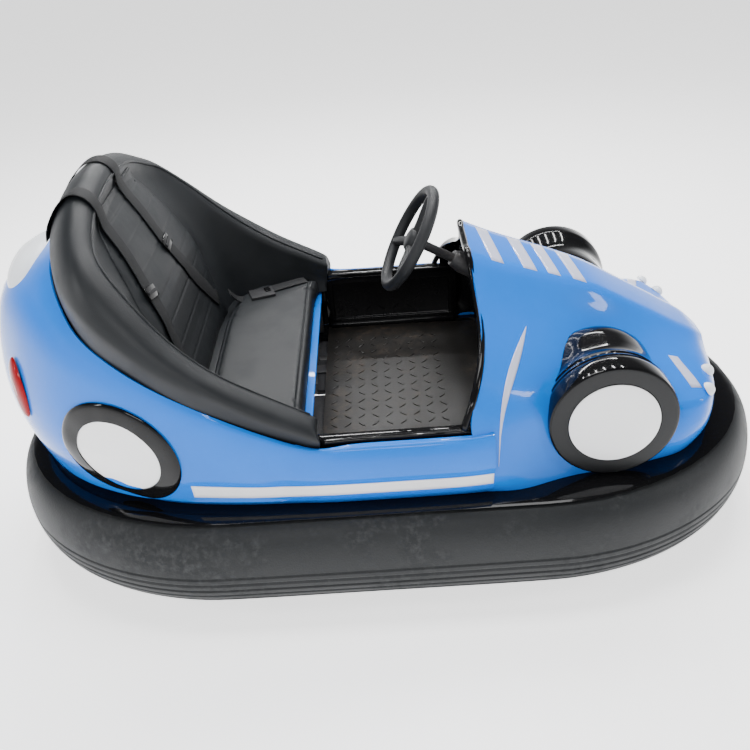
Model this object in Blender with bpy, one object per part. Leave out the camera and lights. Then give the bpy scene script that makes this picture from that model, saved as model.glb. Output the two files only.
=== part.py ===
"""Bumper car: padded single seat, moulded body with dummy road wheels, rubber bumper ring.

Frame: +X forward, +Y to the car's left, +Z up, metres, the floor at z = 0 and the
middle of the bumper ring over the origin. The car stands on one steered drive wheel
under the bonnet and two plain wheels under the seat.
"""

import math

import bmesh
import bpy
import numpy as np
from mathutils import Vector
from mathutils.bvhtree import BVHTree

# driving dimensions, metres
RING_HALF_LENGTH = 0.975
RING_HALF_WIDTH = 0.515
RING_END_REACH = 0.610
TUBE_WIDTH = 0.152
TUBE_BOTTOM = 0.054
TUBE_TOP = 0.2968
RIM_THICK = 0.0045
RIM_TOP = 0.3025
BODY_BOTTOM = 0.3030
SHELL_THICK = 0.006
RAIL_TOP = 0.2920
RAIL_HEIGHT = 0.040
PLATE_TOP = 0.3070
PLATE_THICK = 0.0040
COCKPIT_REAR = -0.135
COCKPIT_FRONT = 0.222
COCKPIT_HALF_WIDTH = 0.398
DRUM_CENTRE = (0.522, 0.450)
DRUM_FACE = 0.387
DRUM_INNER = 0.172
DRUM_RADIUS = 0.1455
DRUM_DISC_RADIUS = 0.101
REAR_TRIM_CENTRE = (-0.584, 0.457)
REAR_TRIM_RADIUS = 0.148
REAR_DISC_RADIUS = 0.103
REAR_TRIM_YAW = 17.0
STEER_CENTRE = (0.100, 0.0, 0.756)
STEER_LEAN = 30.0
STEER_RADIUS = 0.123
STEER_TUBE = 0.0155
SHAFT_RADIUS = 0.011
KINGPIN_X = 0.450
DRIVE_RADIUS = 0.100
DRIVE_WIDTH = 0.060
TRAIL_X = -0.560
TRAIL_Y = 0.230
TRAIL_RADIUS = 0.075
TRAIL_WIDTH = 0.040
TOUCH = 0.0003
SIDES = (("R", -1.0), ("L", 1.0))

for old in list(bpy.data.objects):
    bpy.data.objects.remove(old, do_unlink=True)

scene = bpy.context.scene
scene.unit_settings.scale_length = 1.0
cutters = bpy.data.collections.new("cutters")
cutters.hide_render = True
scene.collection.children.link(cutters)


# helpers


def material(name, colour, rough, metal=0.0):
    mat = bpy.data.materials.new(name)
    mat.use_nodes = True
    shader = mat.node_tree.nodes["Principled BSDF"]
    shader.inputs["Base Color"].default_value = (*colour, 1.0)
    shader.inputs["Roughness"].default_value = rough
    shader.inputs["Metallic"].default_value = metal
    return mat


def build(name, points, faces, look, home=None):
    """Make one closed body from points and faces, with its normals turned outward."""
    bm = bmesh.new()
    verts = [bm.verts.new(tuple(map(float, p))) for p in points]
    for face in faces:
        bm.faces.new([verts[i] for i in face])
    bmesh.ops.remove_doubles(bm, verts=bm.verts, dist=1e-6)
    bmesh.ops.recalc_face_normals(bm, faces=bm.faces)
    mesh = bpy.data.meshes.new(name)
    bm.to_mesh(mesh)
    bm.free()
    obj = bpy.data.objects.new(name, mesh)
    (home or scene.collection).objects.link(obj)
    colour, rough, metal = look
    mesh.materials.append(material(name + "_paint", colour, rough, metal))
    return obj


def loft(rings, closed=False):
    """Points and faces of a tube through rings of equal length, ends capped unless closed."""
    count = len(rings)
    size = len(rings[0])
    points = [p for ring in rings for p in ring]
    faces = []
    spans = count if closed else count - 1
    for i in range(spans):
        a = i * size
        b = ((i + 1) % count) * size
        for j in range(size):
            k = (j + 1) % size
            faces.append((a + j, a + k, b + k, b + j))
    if not closed:
        faces.append(tuple(range(size)))
        faces.append(tuple(reversed(range((count - 1) * size, count * size))))
    return points, faces


def box(low, high):
    (x0, y0, z0), (x1, y1, z1) = low, high
    base = [(x0, y0), (x1, y0), (x1, y1), (x0, y1)]
    return loft([[(x, y, z0) for x, y in base], [(x, y, z1) for x, y in base]])


def lathe(profile, centre, axis, steps):
    """Turn a closed (radius, along) profile about an axis. A profile may touch the axis."""
    along = Vector(axis).normalized()
    side = along.orthogonal().normalized()
    up = along.cross(side)
    centre = Vector(centre)
    points = []
    faces = []
    for i in range(steps):
        turn = 2 * math.pi * i / steps
        out = side * math.cos(turn) + up * math.sin(turn)
        for r, h in profile:
            points.append(centre + out * r + along * h)
    size = len(profile)
    for i in range(steps):
        a = i * size
        b = ((i + 1) % steps) * size
        for j in range(size):
            k = (j + 1) % size
            on_axis = [profile[j][0] < 1e-7, profile[k][0] < 1e-7]
            if all(on_axis):
                continue
            if on_axis[0]:
                faces.append((a + j, a + k, b + k))
            elif on_axis[1]:
                faces.append((a + j, a + k, b + j))
            else:
                faces.append((a + j, a + k, b + k, b + j))
    return points, faces


def cylinder(start, end, radius, steps=24):
    start, end = Vector(start), Vector(end)
    length = (end - start).length
    return lathe([(0, 0), (radius, 0), (radius, length), (0, length)], start, end - start, steps)


def cells(xs, ys, solid, z0, z1):
    """One closed plate made of the grid cells named in solid as (column, row) pairs."""
    points = []
    index = {}
    faces = []

    def at(i, j, z):
        key = (i, j, z)
        if key not in index:
            index[key] = len(points)
            points.append((xs[i], ys[j], z))
        return index[key]

    for i, j in sorted(solid):
        faces.append((at(i, j, z1), at(i + 1, j, z1), at(i + 1, j + 1, z1), at(i, j + 1, z1)))
        faces.append((at(i, j, z0), at(i, j + 1, z0), at(i + 1, j + 1, z0), at(i + 1, j, z0)))
        for di, dj, a, b in (
            (-1, 0, (0, 0), (0, 1)),
            (1, 0, (1, 1), (1, 0)),
            (0, -1, (1, 0), (0, 0)),
            (0, 1, (0, 1), (1, 1)),
        ):
            if (i + di, j + dj) in solid:
                continue
            a0 = at(i + a[0], j + a[1], z0)
            b0 = at(i + b[0], j + b[1], z0)
            b1 = at(i + b[0], j + b[1], z1)
            a1 = at(i + a[0], j + a[1], z1)
            faces.append((a0, b0, b1, a1))
    return points, faces


def smooth_rows(rows, extra):
    """Catmull-Rom through rows of points, with extra new rows between each pair."""
    rows = np.array(rows, float)
    if extra == 0:
        return rows
    ends = np.concatenate([2 * rows[:1] - rows[1:2], rows, 2 * rows[-1:] - rows[-2:-1]])
    out = []
    for i in range(len(rows) - 1):
        p0, p1, p2, p3 = ends[i : i + 4]
        for step in range(extra + 1):
            t = step / (extra + 1)
            out.append(
                0.5
                * (
                    2 * p1
                    + (p2 - p0) * t
                    + (2 * p0 - 5 * p1 + 4 * p2 - p3) * t * t
                    + (3 * p1 - 3 * p2 + p3 - p0) * t**3
                )
            )
    out.append(rows[-1])
    return np.array(out)


def grid_normals(grid, inside):
    """Unit normals of a grid of points, turned away from the inside point."""
    du = np.gradient(grid, axis=0)
    dv = np.gradient(grid, axis=1)
    normal = np.cross(du, dv)
    normal /= np.linalg.norm(normal, axis=2, keepdims=True)
    away = ((grid - np.array(inside)) * normal).sum(axis=2, keepdims=True)
    return normal * np.where(away.mean() < 0, -1.0, 1.0)


def skin(grid, thick, inside, join_last=False):
    """A closed skin of even thickness under a grid. join_last folds the last row shut."""
    inner = grid - grid_normals(grid, inside) * thick
    rows, cols = grid.shape[:2]
    points = np.concatenate([grid.reshape(-1, 3), inner.reshape(-1, 3)])
    half = rows * cols
    faces = []

    def quad(a, b, c, d):
        faces.append((a, b, c, d))
        faces.append((d + half, c + half, b + half, a + half))

    for i in range(rows - 1):
        for j in range(cols - 1):
            a = i * cols + j
            quad(a, a + 1, a + cols + 1, a + cols)
    edge = [(0, j) for j in range(cols)]
    right = [(i, cols - 1) for i in range(rows)]
    left = [(i, 0) for i in range(rows)]
    for line in (edge, right, left):
        for (i0, j0), (i1, j1) in zip(line, line[1:]):
            a = i0 * cols + j0
            b = i1 * cols + j1
            faces.append((a, b, b + half, a + half))
    last = (rows - 1) * cols
    if join_last:
        for j in range((cols - 1) // 2):
            a, b = last + j, last + j + 1
            c, d = last + cols - 2 - j, last + cols - 1 - j
            if b == c:
                faces.append((a, b, d))
                faces.append((a + half, b + half, d + half))
            else:
                quad(a, b, c, d)
        a, d = last, last + cols - 1
        faces.append((a, d, d + half, a + half))
    else:
        for j in range(cols - 1):
            a, b = last + j, last + j + 1
            faces.append((a, b, b + half, a + half))
    return points, faces


def cut(obj, cutter):
    """Take the cutter's solid out of obj."""
    cutter.hide_render = True
    cutter.display_type = "WIRE"
    step = obj.modifiers.new("cut_" + cutter.name, "BOOLEAN")
    step.operation = "DIFFERENCE"
    step.solver = "EXACT"
    step.object = cutter


def mirror_y(points):
    return [(x, -y, z) for x, y, z in points]


def ring_path(inset, z, steps):
    """Plan of the ring at an inset from its outer edge: two straights, two elliptic ends."""
    straight = RING_HALF_LENGTH - RING_END_REACH
    reach = RING_END_REACH - inset
    width = RING_HALF_WIDTH - inset
    half = steps // 2
    out = []
    for end in (1.0, -1.0):
        for i in range(half + 1):
            turn = math.pi * (i / half - 0.5) + (0.0 if end > 0 else math.pi)
            out.append((end * straight + reach * math.cos(turn), width * math.sin(turn), z))
    return out


BLUE = ((0.008, 0.32, 0.93), 0.12, 0.0)
BLACK = ((0.012, 0.012, 0.013), 0.15, 0.0)
RUBBER = ((0.030, 0.034, 0.037), 0.60, 0.0)
VINYL = ((0.033, 0.037, 0.042), 0.55, 0.0)
WHITE = ((0.86, 0.87, 0.88), 0.30, 0.0)
STEEL = ((0.05, 0.05, 0.055), 0.40, 0.0)
WEBBING = ((0.020, 0.022, 0.025), 0.80, 0.0)

# bumper ring: rubber tube and the steel rim that holds it

tube_mid = 0.5 * (TUBE_TOP + TUBE_BOTTOM)
tube_half = 0.5 * (TUBE_TOP - TUBE_BOTTOM)
tube_section = []
for i in range(12):
    angle = math.pi * (i / 11 - 0.5)
    reach = 0.5 * TUBE_WIDTH * (1.0 - abs(math.cos(angle)) ** 0.8)
    tube_section.append((reach, tube_mid + tube_half * math.sin(angle)))
tube_section += [(TUBE_WIDTH, TUBE_TOP - 0.020), (TUBE_WIDTH, tube_mid), (TUBE_WIDTH, TUBE_BOTTOM + 0.030)]
tube_rings = [ring_path(inset, z, 56) for inset, z in tube_section]
build("bumper_tube", *loft([list(ring) for ring in zip(*tube_rings)], closed=True), RUBBER)

rim_inset = TUBE_WIDTH + TOUCH
rim_section = [
    (rim_inset, TUBE_BOTTOM + 0.030),
    (rim_inset, RIM_TOP - RIM_THICK),
    (0.076, RIM_TOP - RIM_THICK),
    (0.050, 0.2945),
    (0.047, 0.2980),
    (0.072, RIM_TOP),
    (rim_inset + RIM_THICK, RIM_TOP),
    (rim_inset + RIM_THICK, TUBE_BOTTOM + 0.030),
]
rim_rings = [ring_path(inset, z, 56) for inset, z in rim_section]
build("bumper_rim", *loft([list(ring) for ring in zip(*rim_rings)], closed=True), BLACK)

# chassis ladder inside the rim, with a square hole for the kingpin

rim_inner = RING_HALF_WIDTH - rim_inset - RIM_THICK - TOUCH
rail_x = [-0.700, -0.585, -0.535, -0.300, -0.260, 0.060, 0.100, 0.280, 0.320]
rail_x += [KINGPIN_X - 0.050, KINGPIN_X - 0.020, KINGPIN_X + 0.020, KINGPIN_X + 0.050, 0.650, 0.690]
rail_y = [-rim_inner, -0.300, -0.200, -0.160, -0.020, 0.020, 0.160, 0.200, 0.300, rim_inner]
last_column = len(rail_x) - 2
solid = set()
for i in range(len(rail_x) - 1):
    for j in (2, 6):
        solid.add((i, j))
for i in (1, 9, 10, 11, last_column):
    for j in range(2, 7):
        solid.add((i, j))
for i in (3, 7):
    for j in range(9):
        solid.add((i, j))
for i in (1,):
    for j in (1, 7):
        solid.add((i, j))
solid.discard((10, 4))
build("chassis_frame", *cells(rail_x, rail_y, solid, RAIL_TOP - RAIL_HEIGHT, RAIL_TOP), STEEL)

# floor plate of the cockpit and foot space

plate_low = PLATE_TOP - PLATE_THICK
plate = [
    (-0.150, -0.395),
    (0.420, -0.372),
    (0.420, -0.060),
    (0.360, -0.060),
    (0.360, 0.060),
    (0.420, 0.060),
    (0.420, 0.372),
    (-0.150, 0.395),
]
build(
    "floor_plate",
    *loft([[(x, y, plate_low) for x, y in plate], [(x, y, PLATE_TOP) for x, y in plate]]),
    ((0.03, 0.028, 0.026), 0.45, 0.3),
)

# rear body: columns from the middle of the tail forward to the cockpit, left side
# (bottom x, bottom y, belly x, belly y, belly z, shoulder x, shoulder y, shoulder z, top x, top y, top z)

tail_columns = [
    (-0.880, 0.000, -0.955, 0.000, 0.490, -0.914, 0.000, 0.700, -0.728, 0.000, 0.842),
    (-0.858, 0.100, -0.926, 0.102, 0.490, -0.882, 0.102, 0.705, -0.720, 0.108, 0.836),
    (-0.806, 0.190, -0.868, 0.200, 0.485, -0.822, 0.195, 0.705, -0.702, 0.198, 0.812),
    (-0.748, 0.250, -0.802, 0.280, 0.482, -0.756, 0.276, 0.690, -0.665, 0.282, 0.776),
    (-0.670, 0.305, -0.710, 0.350, 0.470, -0.680, 0.350, 0.650, -0.618, 0.352, 0.738),
    (-0.560, 0.362, -0.590, 0.400, 0.460, -0.575, 0.405, 0.610, -0.548, 0.398, 0.692),
    (-0.450, 0.393, -0.450, 0.430, 0.440, -0.455, 0.438, 0.560, -0.455, 0.428, 0.635),
    (-0.310, 0.410, -0.310, 0.448, 0.420, -0.320, 0.458, 0.510, -0.325, 0.445, 0.565),
    (-0.200, 0.415, -0.200, 0.455, 0.400, -0.210, 0.462, 0.465, -0.215, 0.450, 0.510),
    (-0.136, 0.420, -0.136, 0.457, 0.390, -0.136, 0.463, 0.440, -0.136, 0.452, 0.474),
]
rows = []
for bx, by, mx, my, mz, sx, sy, sz, tx, ty, tz in tail_columns:
    low = (bx + 0.30 * (mx - bx), by + 0.45 * (my - by), BODY_BOTTOM + 0.22 * (mz - BODY_BOTTOM))
    row = [(bx, by, BODY_BOTTOM), low, (mx, my, mz), (sx, sy, sz), (tx, ty, tz)]
    rows.append(smooth_rows(row, 1))
rows = np.array(rows)
left = smooth_rows(rows, 1)
right = left[:0:-1] * np.array([1.0, -1.0, 1.0])
tail_grid = np.concatenate([right, left])
tail = build("rear_shell", *skin(tail_grid, SHELL_THICK, (-0.40, 0.0, 0.45)), BLUE)

# front body: sections from the cockpit rim to the nose, half profiles from the bottom edge up

nose_sections = [
    (0.2223, [(0.422, 0.0), (0.448, 0.350), (0.455, 0.420), (0.440, 0.487), (0.408, 0.548), (0.345, 0.596),
              (0.255, 0.637), (0.165, 0.688), (0.107, 0.752), (0.000, 0.754)]),
    (0.300, [(0.420, 0.0), (0.438, 0.350), (0.440, 0.415), (0.420, 0.475), (0.380, 0.527), (0.315, 0.572),
              (0.235, 0.612), (0.157, 0.660), (0.101, 0.722), (0.000, 0.724)]),
    (0.380, [(0.408, 0.0), (0.420, 0.345), (0.420, 0.400), (0.395, 0.455), (0.348, 0.503), (0.288, 0.546),
              (0.215, 0.585), (0.145, 0.632), (0.093, 0.693), (0.000, 0.695)]),
    (0.460, [(0.390, 0.0), (0.396, 0.342), (0.392, 0.385), (0.366, 0.437), (0.318, 0.482), (0.262, 0.522),
              (0.198, 0.560), (0.134, 0.604), (0.086, 0.665), (0.000, 0.667)]),
    (0.540, [(0.370, 0.0), (0.374, 0.340), (0.368, 0.380), (0.338, 0.427), (0.290, 0.466), (0.238, 0.500),
              (0.180, 0.533), (0.124, 0.574), (0.079, 0.632), (0.000, 0.634)]),
    (0.620, [(0.345, 0.0), (0.352, 0.340), (0.350, 0.385), (0.328, 0.430), (0.280, 0.462), (0.228, 0.486),
              (0.172, 0.510), (0.118, 0.542), (0.073, 0.585), (0.000, 0.587)]),
    (0.700, [(0.322, 0.0), (0.338, 0.345), (0.342, 0.395), (0.326, 0.440), (0.280, 0.464), (0.226, 0.478),
              (0.168, 0.490), (0.112, 0.509), (0.068, 0.538), (0.000, 0.540)]),
    (0.760, [(0.270, 0.0), (0.300, 0.345), (0.316, 0.395), (0.304, 0.444), (0.258, 0.462), (0.206, 0.468),
              (0.154, 0.473), (0.104, 0.481), (0.063, 0.501), (0.000, 0.503)]),
    (0.802, [(0.212, 0.0), (0.230, 0.345), (0.238, 0.388), (0.224, 0.426), (0.192, 0.444), (0.157, 0.451),
              (0.121, 0.456), (0.086, 0.462), (0.055, 0.476), (0.000, 0.478)]),
    (0.832, [(0.120, 0.0), (0.128, 0.340), (0.128, 0.375), (0.120, 0.398), (0.105, 0.412), (0.088, 0.420),
              (0.070, 0.428), (0.052, 0.436), (0.034, 0.450), (0.000, 0.452)]),
]
rows = []
for x, half in nose_sections:
    line = [(x, y, z if z else BODY_BOTTOM) for y, z in half]
    rows.append(line + [(px, -py, pz) for px, py, pz in reversed(line[:-1])])
nose_grid = smooth_rows(rows, 0)
nose = build("front_shell", *skin(nose_grid, SHELL_THICK, (0.45, 0.0, 0.25), join_last=True), BLUE)

# sills between them, and the black inner walls of the cockpit

sill_section = [
    (0.4210, BODY_BOTTOM),
    (0.4400, 0.3280),
    (0.4500, 0.3500),
    (0.4580, 0.4000),
    (0.4610, 0.4350),
    (0.4540, 0.4640),
    (0.4320, 0.4760),
    (0.4040, 0.4780),
    (0.4040, 0.4720),
    (0.4300, 0.4700),
    (0.4490, 0.4590),
    (0.4550, 0.4340),
    (0.4520, 0.4010),
    (0.4440, 0.3520),
    (0.4350, 0.3310),
    (0.4160, 0.3070),
]
for tag, side in SIDES:
    ends = [COCKPIT_REAR - 0.0005, COCKPIT_FRONT - 0.0035]
    rings = [[(x, side * y, z) for y, z in sill_section] for x in ends]
    build("sill_" + tag, *loft(rings), BLUE)
    low = (COCKPIT_REAR + 0.009, side * COCKPIT_HALF_WIDTH, PLATE_TOP + TOUCH)
    high = (COCKPIT_FRONT, side * (COCKPIT_HALF_WIDTH + 0.0055), 0.4820)
    build("cockpit_wall_" + tag, *box(low, high), BLACK)

# dummy front wheels: turned drums standing out of the bonnet, with white discs

drum_x, drum_z = DRUM_CENTRE
drum_length = DRUM_FACE - DRUM_INNER
drum_profile = [
    (0.0, 0.0),
    (0.104, 0.0),
    (0.124, 0.010),
    (0.132, 0.030),
    (0.128, 0.060),
    (0.124, 0.090),
    (0.131, 0.120),
    (0.142, 0.140),
    (DRUM_RADIUS, 0.158),
    (DRUM_RADIUS, drum_length - 0.012),
    (DRUM_RADIUS - 0.008, drum_length),
    (0.0, drum_length),
]
hole_profile = [(0.0, -0.0006), (0.104, -0.0006)]
hole_profile += [(r + 0.0006, h) for r, h in drum_profile[2:9]]
hole_profile += [(DRUM_RADIUS + 0.0006, 0.40), (0.0, 0.40)]
for tag, side in SIDES:
    axis = (0.0, side, 0.0)
    start = (drum_x, side * DRUM_INNER, drum_z)
    build("front_drum_" + tag, *lathe(drum_profile, start, axis, 40), BLACK)
    cutter = build("drum_hole_" + tag, *lathe(hole_profile, start, axis, 40), BLACK, cutters)
    cut(nose, cutter)
    face = (drum_x, side * (DRUM_FACE + TOUCH), drum_z)
    disc = [(0.0, 0.0), (DRUM_DISC_RADIUS, 0.0), (DRUM_DISC_RADIUS - 0.002, 0.003), (0.0, 0.003)]
    build("front_disc_" + tag, *lathe(disc, face, axis, 40), WHITE)

def pad(name, place, layers, steps, look):
    """A closed piece laid on a curved skin: layers of (scale, lift) placed by place(scale, turn, lift)."""
    rings = []
    for scale, lift in layers:
        rings.append([place(scale, 2 * math.pi * i / steps, lift) for i in range(steps)])
    return build(name, *loft(rings), look)


# dummy rear wheels: black ring and white disc laid on the curve of the tail

tail_tree = BVHTree.FromObject(tail, bpy.context.evaluated_depsgraph_get())
yaw = math.radians(REAR_TRIM_YAW)
for tag, side in SIDES:
    out = Vector((-math.sin(yaw), side * math.cos(yaw), 0.0))
    along = Vector((math.cos(yaw), side * math.sin(yaw), 0.0))
    up = Vector((0.0, 0.0, 1.0))
    hub = Vector((REAR_TRIM_CENTRE[0], side * 0.40, REAR_TRIM_CENTRE[1]))

    def on_tail(radius, turn, lift):
        start = hub + along * (radius * math.cos(turn)) + up * (radius * math.sin(turn)) + out * 0.2
        hit = tail_tree.ray_cast(start, -out)[0]
        return hit + out * lift

    rings = []
    outer, inner = REAR_TRIM_RADIUS, REAR_DISC_RADIUS + 0.0005
    middle = 0.5 * (outer + inner)
    for radius, lift in ((outer, 0.0032), (outer - 0.004, 0.0085), (middle, 0.0095), (inner, 0.0085), (inner, 0.0030),
                         (middle, 0.0030)):
        rings.append([on_tail(radius, 2 * math.pi * i / 32, lift) for i in range(32)])
    build("rear_ring_" + tag, *loft(rings, closed=True), BLACK)
    layers = [(0.25, 0.0018), (0.62, 0.0018), (1.0, 0.0018), (1.0, 0.0055), (0.62, 0.0060), (0.25, 0.0060)]
    pad("rear_disc_" + tag, lambda s, t, lift: on_tail(REAR_DISC_RADIUS * s, t, lift), layers, 32, WHITE)

# lamps: four nose domes, two tail lamps and the hump lamp behind the head

lamp_table = [("R1", 0.783, -0.205, 0.452), ("R2", 0.764, -0.280, 0.450)]
lamp_table += [("L1", 0.783, 0.205, 0.452), ("L2", 0.764, 0.280, 0.450)]
nose_tree = BVHTree.FromObject(nose, bpy.context.evaluated_depsgraph_get())
for tag, x, y, z in lamp_table:
    facing = Vector((0.86, 0.42 * math.copysign(1.0, y), 0.30)).normalized()
    seat, facing = nose_tree.ray_cast(Vector((x, y, z)) + facing * 0.2, -facing)[:2]
    dome = [(0.0, 0.0), (0.017, 0.0), (0.017, 0.004), (0.013, 0.011), (0.006, 0.015), (0.0, 0.016)]
    build("nose_lamp_" + tag, *lathe(dome, seat + facing * 0.0006, facing, 16), WHITE)

for tag, side in SIDES:
    facing = Vector((-0.84, side * 0.54, 0.0)).normalized()
    along = Vector((0.54, side * 0.84, 0.0)).normalized()
    up = Vector((0.0, 0.0, 1.0))
    hub = Vector((-0.830, side * 0.235, 0.555))

    def on_corner(scale, turn, lift):
        start = hub + along * (0.034 * scale * math.cos(turn)) + up * (0.072 * scale * math.sin(turn))
        start += along * (-0.020 * scale * math.sin(turn))
        hit = tail_tree.ray_cast(start + facing * 0.2, -facing)[0]
        return hit + facing * lift

    layers = [(0.35, 0.002), (0.7, 0.002), (1.0, 0.002), (0.97, 0.007), (0.7, 0.011), (0.35, 0.013)]
    pad("tail_lamp_" + tag, on_corner, layers, 16, ((0.45, 0.01, 0.015), 0.15, 0.0))


def on_hump(scale, turn, lift):
    start = Vector((-0.822 + 0.050 * scale * math.cos(turn), 0.120 * scale * math.sin(turn), 1.2))
    hit = tail_tree.ray_cast(start, Vector((0.0, 0.0, -1.0)))[0]
    return hit + Vector((-0.35, 0.0, 0.94)) * lift


hump_layers = [(0.3, 0.0038), (0.65, 0.0038), (1.0, 0.0038), (0.96, 0.016), (0.8, 0.028), (0.5, 0.034), (0.2, 0.036)]
pad("hump_lamp", on_hump, hump_layers, 20, ((0.80, 0.82, 0.85), 0.25, 0.0))

# seat: padded roll round the opening, sections of an ellipse from the tip to the middle, left side
# (centre x, y, z, half height as x, y, z, half thickness as x, y, z)

roll_table = [
    (-0.137, 0.419, 0.508, -0.008, 0.000, 0.029, 0.000, -0.034, 0.000),
    (-0.250, 0.415, 0.567, -0.010, 0.000, 0.036, 0.000, -0.037, 0.000),
    (-0.330, 0.412, 0.617, -0.012, 0.002, 0.041, 0.000, -0.038, 0.000),
    (-0.410, 0.406, 0.676, -0.010, -0.004, 0.049, 0.005, -0.038, 0.004),
    (-0.487, 0.386, 0.745, -0.004, -0.010, 0.058, 0.015, -0.036, 0.004),
    (-0.560, 0.346, 0.812, 0.004, -0.014, 0.066, 0.026, -0.032, 0.000),
    (-0.606, 0.283, 0.846, 0.020, -0.010, 0.072, 0.035, -0.022, -0.008),
    (-0.634, 0.190, 0.882, 0.036, -0.005, 0.075, 0.040, -0.010, -0.016),
    (-0.646, 0.092, 0.903, 0.048, 0.000, 0.077, 0.042, -0.003, -0.022),
    (-0.650, 0.000, 0.910, 0.052, 0.000, 0.077, 0.042, 0.000, -0.024),
]
table = np.array(roll_table)
left = smooth_rows(table, 1)
right = left[:-1] * np.array([1.0, -1.0, 1.0] * 3)
stations = np.concatenate([left, right[::-1]])
rings = []
for row in stations:
    centre, tall, deep = row[:3], row[3:6], row[6:]
    ring = []
    for i in range(12):
        turn = 2 * math.pi * i / 12
        c, s = math.cos(turn), math.sin(turn)
        c = math.copysign(abs(c) ** 0.8, c)
        s = math.copysign(abs(s) ** 0.8, s)
        ring.append(centre + tall * s + deep * c)
    rings.append(ring)
build("surround_roll", *loft(rings), VINYL)

# seat tub: the inner side walls under the roll, left side
# (top x, y, z, bottom x, y, z)

tub_table = [
    (-0.150, 0.386, 0.474, -0.150, 0.380, 0.4336),
    (-0.250, 0.377, 0.522, -0.250, 0.372, 0.4336),
    (-0.330, 0.370, 0.566, -0.330, 0.362, 0.4336),
    (-0.400, 0.362, 0.612, -0.400, 0.350, 0.4336),
    (-0.470, 0.338, 0.670, -0.460, 0.320, 0.4336),
    (-0.530, 0.298, 0.722, -0.500, 0.262, 0.4336),
    (-0.567, 0.235, 0.751, -0.520, 0.200, 0.4336),
    (-0.588, 0.150, 0.775, -0.530, 0.120, 0.4336),
    (-0.596, 0.000, 0.787, -0.535, 0.000, 0.4336),
]
rows = []
for tx, ty, tz, bx, by, bz in tub_table:
    rows.append(smooth_rows([(tx, ty, tz), (bx, by, bz)], 2))
left = np.array(rows)
right = left[:-1] * np.array([1.0, -1.0, 1.0])
tub_grid = np.concatenate([left, right[::-1]])
build("seat_tub", *skin(tub_grid, -0.007, (-0.30, 0.0, 0.60)), VINYL)

# seat pan with the front lip, carried on the rim

pan_plan = [(-0.158, 0.386), (-0.250, 0.384), (-0.330, 0.376), (-0.400, 0.364), (-0.465, 0.335), (-0.510, 0.275),
            (-0.540, 0.150)]
pan_loop = pan_plan + [(x, -y) for x, y in reversed(pan_plan)]
rings = [[(x, y, 0.4235) for x, y in pan_loop], [(x, y, 0.4315) for x, y in pan_loop]]
build("seat_pan", *loft(rings), BLUE)
for tag, side in SIDES:
    foot_low = (-0.340, side * 0.366, PLATE_TOP - PLATE_THICK)
    foot_high = (-0.163, side * 0.376, 0.4232)
    build("seat_riser_" + tag, *box(foot_low, foot_high), BLACK)

cushion_plan = [(-0.166, 0.371), (-0.250, 0.364), (-0.320, 0.354), (-0.352, 0.342), (-0.386, 0.300), (-0.403, 0.240)]
cushion_plan += [(-0.4150, 0.150)]
cushion_loop = cushion_plan + [(x, -y) for x, y in reversed(cushion_plan)]
middle = Vector((-0.290, 0.0, 0.0))
rings = []
for z, shrink in ((0.4320, 0.985), (0.4400, 1.0), (0.4700, 1.0), (0.4860, 0.975), (0.4920, 0.93)):
    rings.append([(middle.x + (x - middle.x) * shrink, y * shrink, z) for x, y in cushion_loop])
build("seat_cushion", *loft(rings), VINYL)

# backrest pad, sections from the bottom up
# (front x, half width, wrap forward at the edge, z, thickness, lean of the section)

back_table = [
    (-0.432, 0.262, 0.022, 0.4320, 0.060, 0.0),
    (-0.434, 0.286, 0.030, 0.500, 0.056, 0.2),
    (-0.440, 0.300, 0.034, 0.580, 0.056, 1.0),
    (-0.462, 0.292, 0.034, 0.680, 0.060, 1.0),
    (-0.489, 0.262, 0.030, 0.772, 0.058, 1.0),
    (-0.513, 0.220, 0.022, 0.840, 0.054, 1.0),
    (-0.533, 0.165, 0.012, 0.888, 0.040, 1.0),
]
rings = []
for front, width, wrap, z, thick, tip in back_table:
    ring = []
    for i in range(9):
        across = (i / 8 - 0.5) * 2
        ring.append((front + wrap * across * across, width * across, z + 0.03 * thick * tip))
    for i in range(9):
        across = (0.5 - i / 8) * 2
        reach = width * (1.0 - 0.04 * abs(across))
        ring.append((front - thick + wrap * across * across, reach * across, z - 0.35 * thick * tip))
    rings.append(ring)
build("backrest", *loft(rings), VINYL)

# belts: two shoulder straps over the headrest, a lap strap with its buckle


def strap(name, line, half_width, thick, across):
    rings = []
    for i, point in enumerate(line):
        before = Vector(line[max(i - 1, 0)])
        after = Vector(line[min(i + 1, len(line) - 1)])
        run = (after - before).normalized()
        side_way = Vector(across).normalized()
        out = side_way.cross(run).normalized()
        p = Vector(point)
        a, b = side_way * half_width, out * (0.5 * thick)
        rings.append([p - a - b, p + a - b, p + a + b, p - a + b])
    return build(name, *loft(rings), WEBBING)


for tag, side in SIDES:
    roll_mid = np.array(roll_table[-2])
    over = []
    for step in range(9):
        turn = math.radians(205 - 22 * step)
        c, s = math.cos(turn), math.sin(turn)
        c = math.copysign(abs(c) ** 0.8, c)
        s = math.copysign(abs(s) ** 0.8, s)
        off = (roll_mid[3:6] * s + roll_mid[6:] * c)
        off = off + 0.0066 * off / np.linalg.norm(off)
        over.append((roll_mid[0] + off[0], side * 0.098, roll_mid[2] + off[2]))
    lean_in = (0.094, 0.088, 0.078, 0.064, 0.050, 0.040)
    down = []
    for row, y in zip(reversed(back_table[1:]), lean_in):
        wrapped = row[0] + row[2] * ((y + 0.022) / row[1]) ** 2
        down.append((wrapped + 0.0053, side * y, row[3]))
    line = over + down
    strap("shoulder_belt_" + tag, line, 0.022, 0.004, (0.0, 1.0, 0.0))
run = Vector((0.95, 0.30, 0.0)).normalized()
cross_way = (-0.30, 0.95, 0.0)
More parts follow.
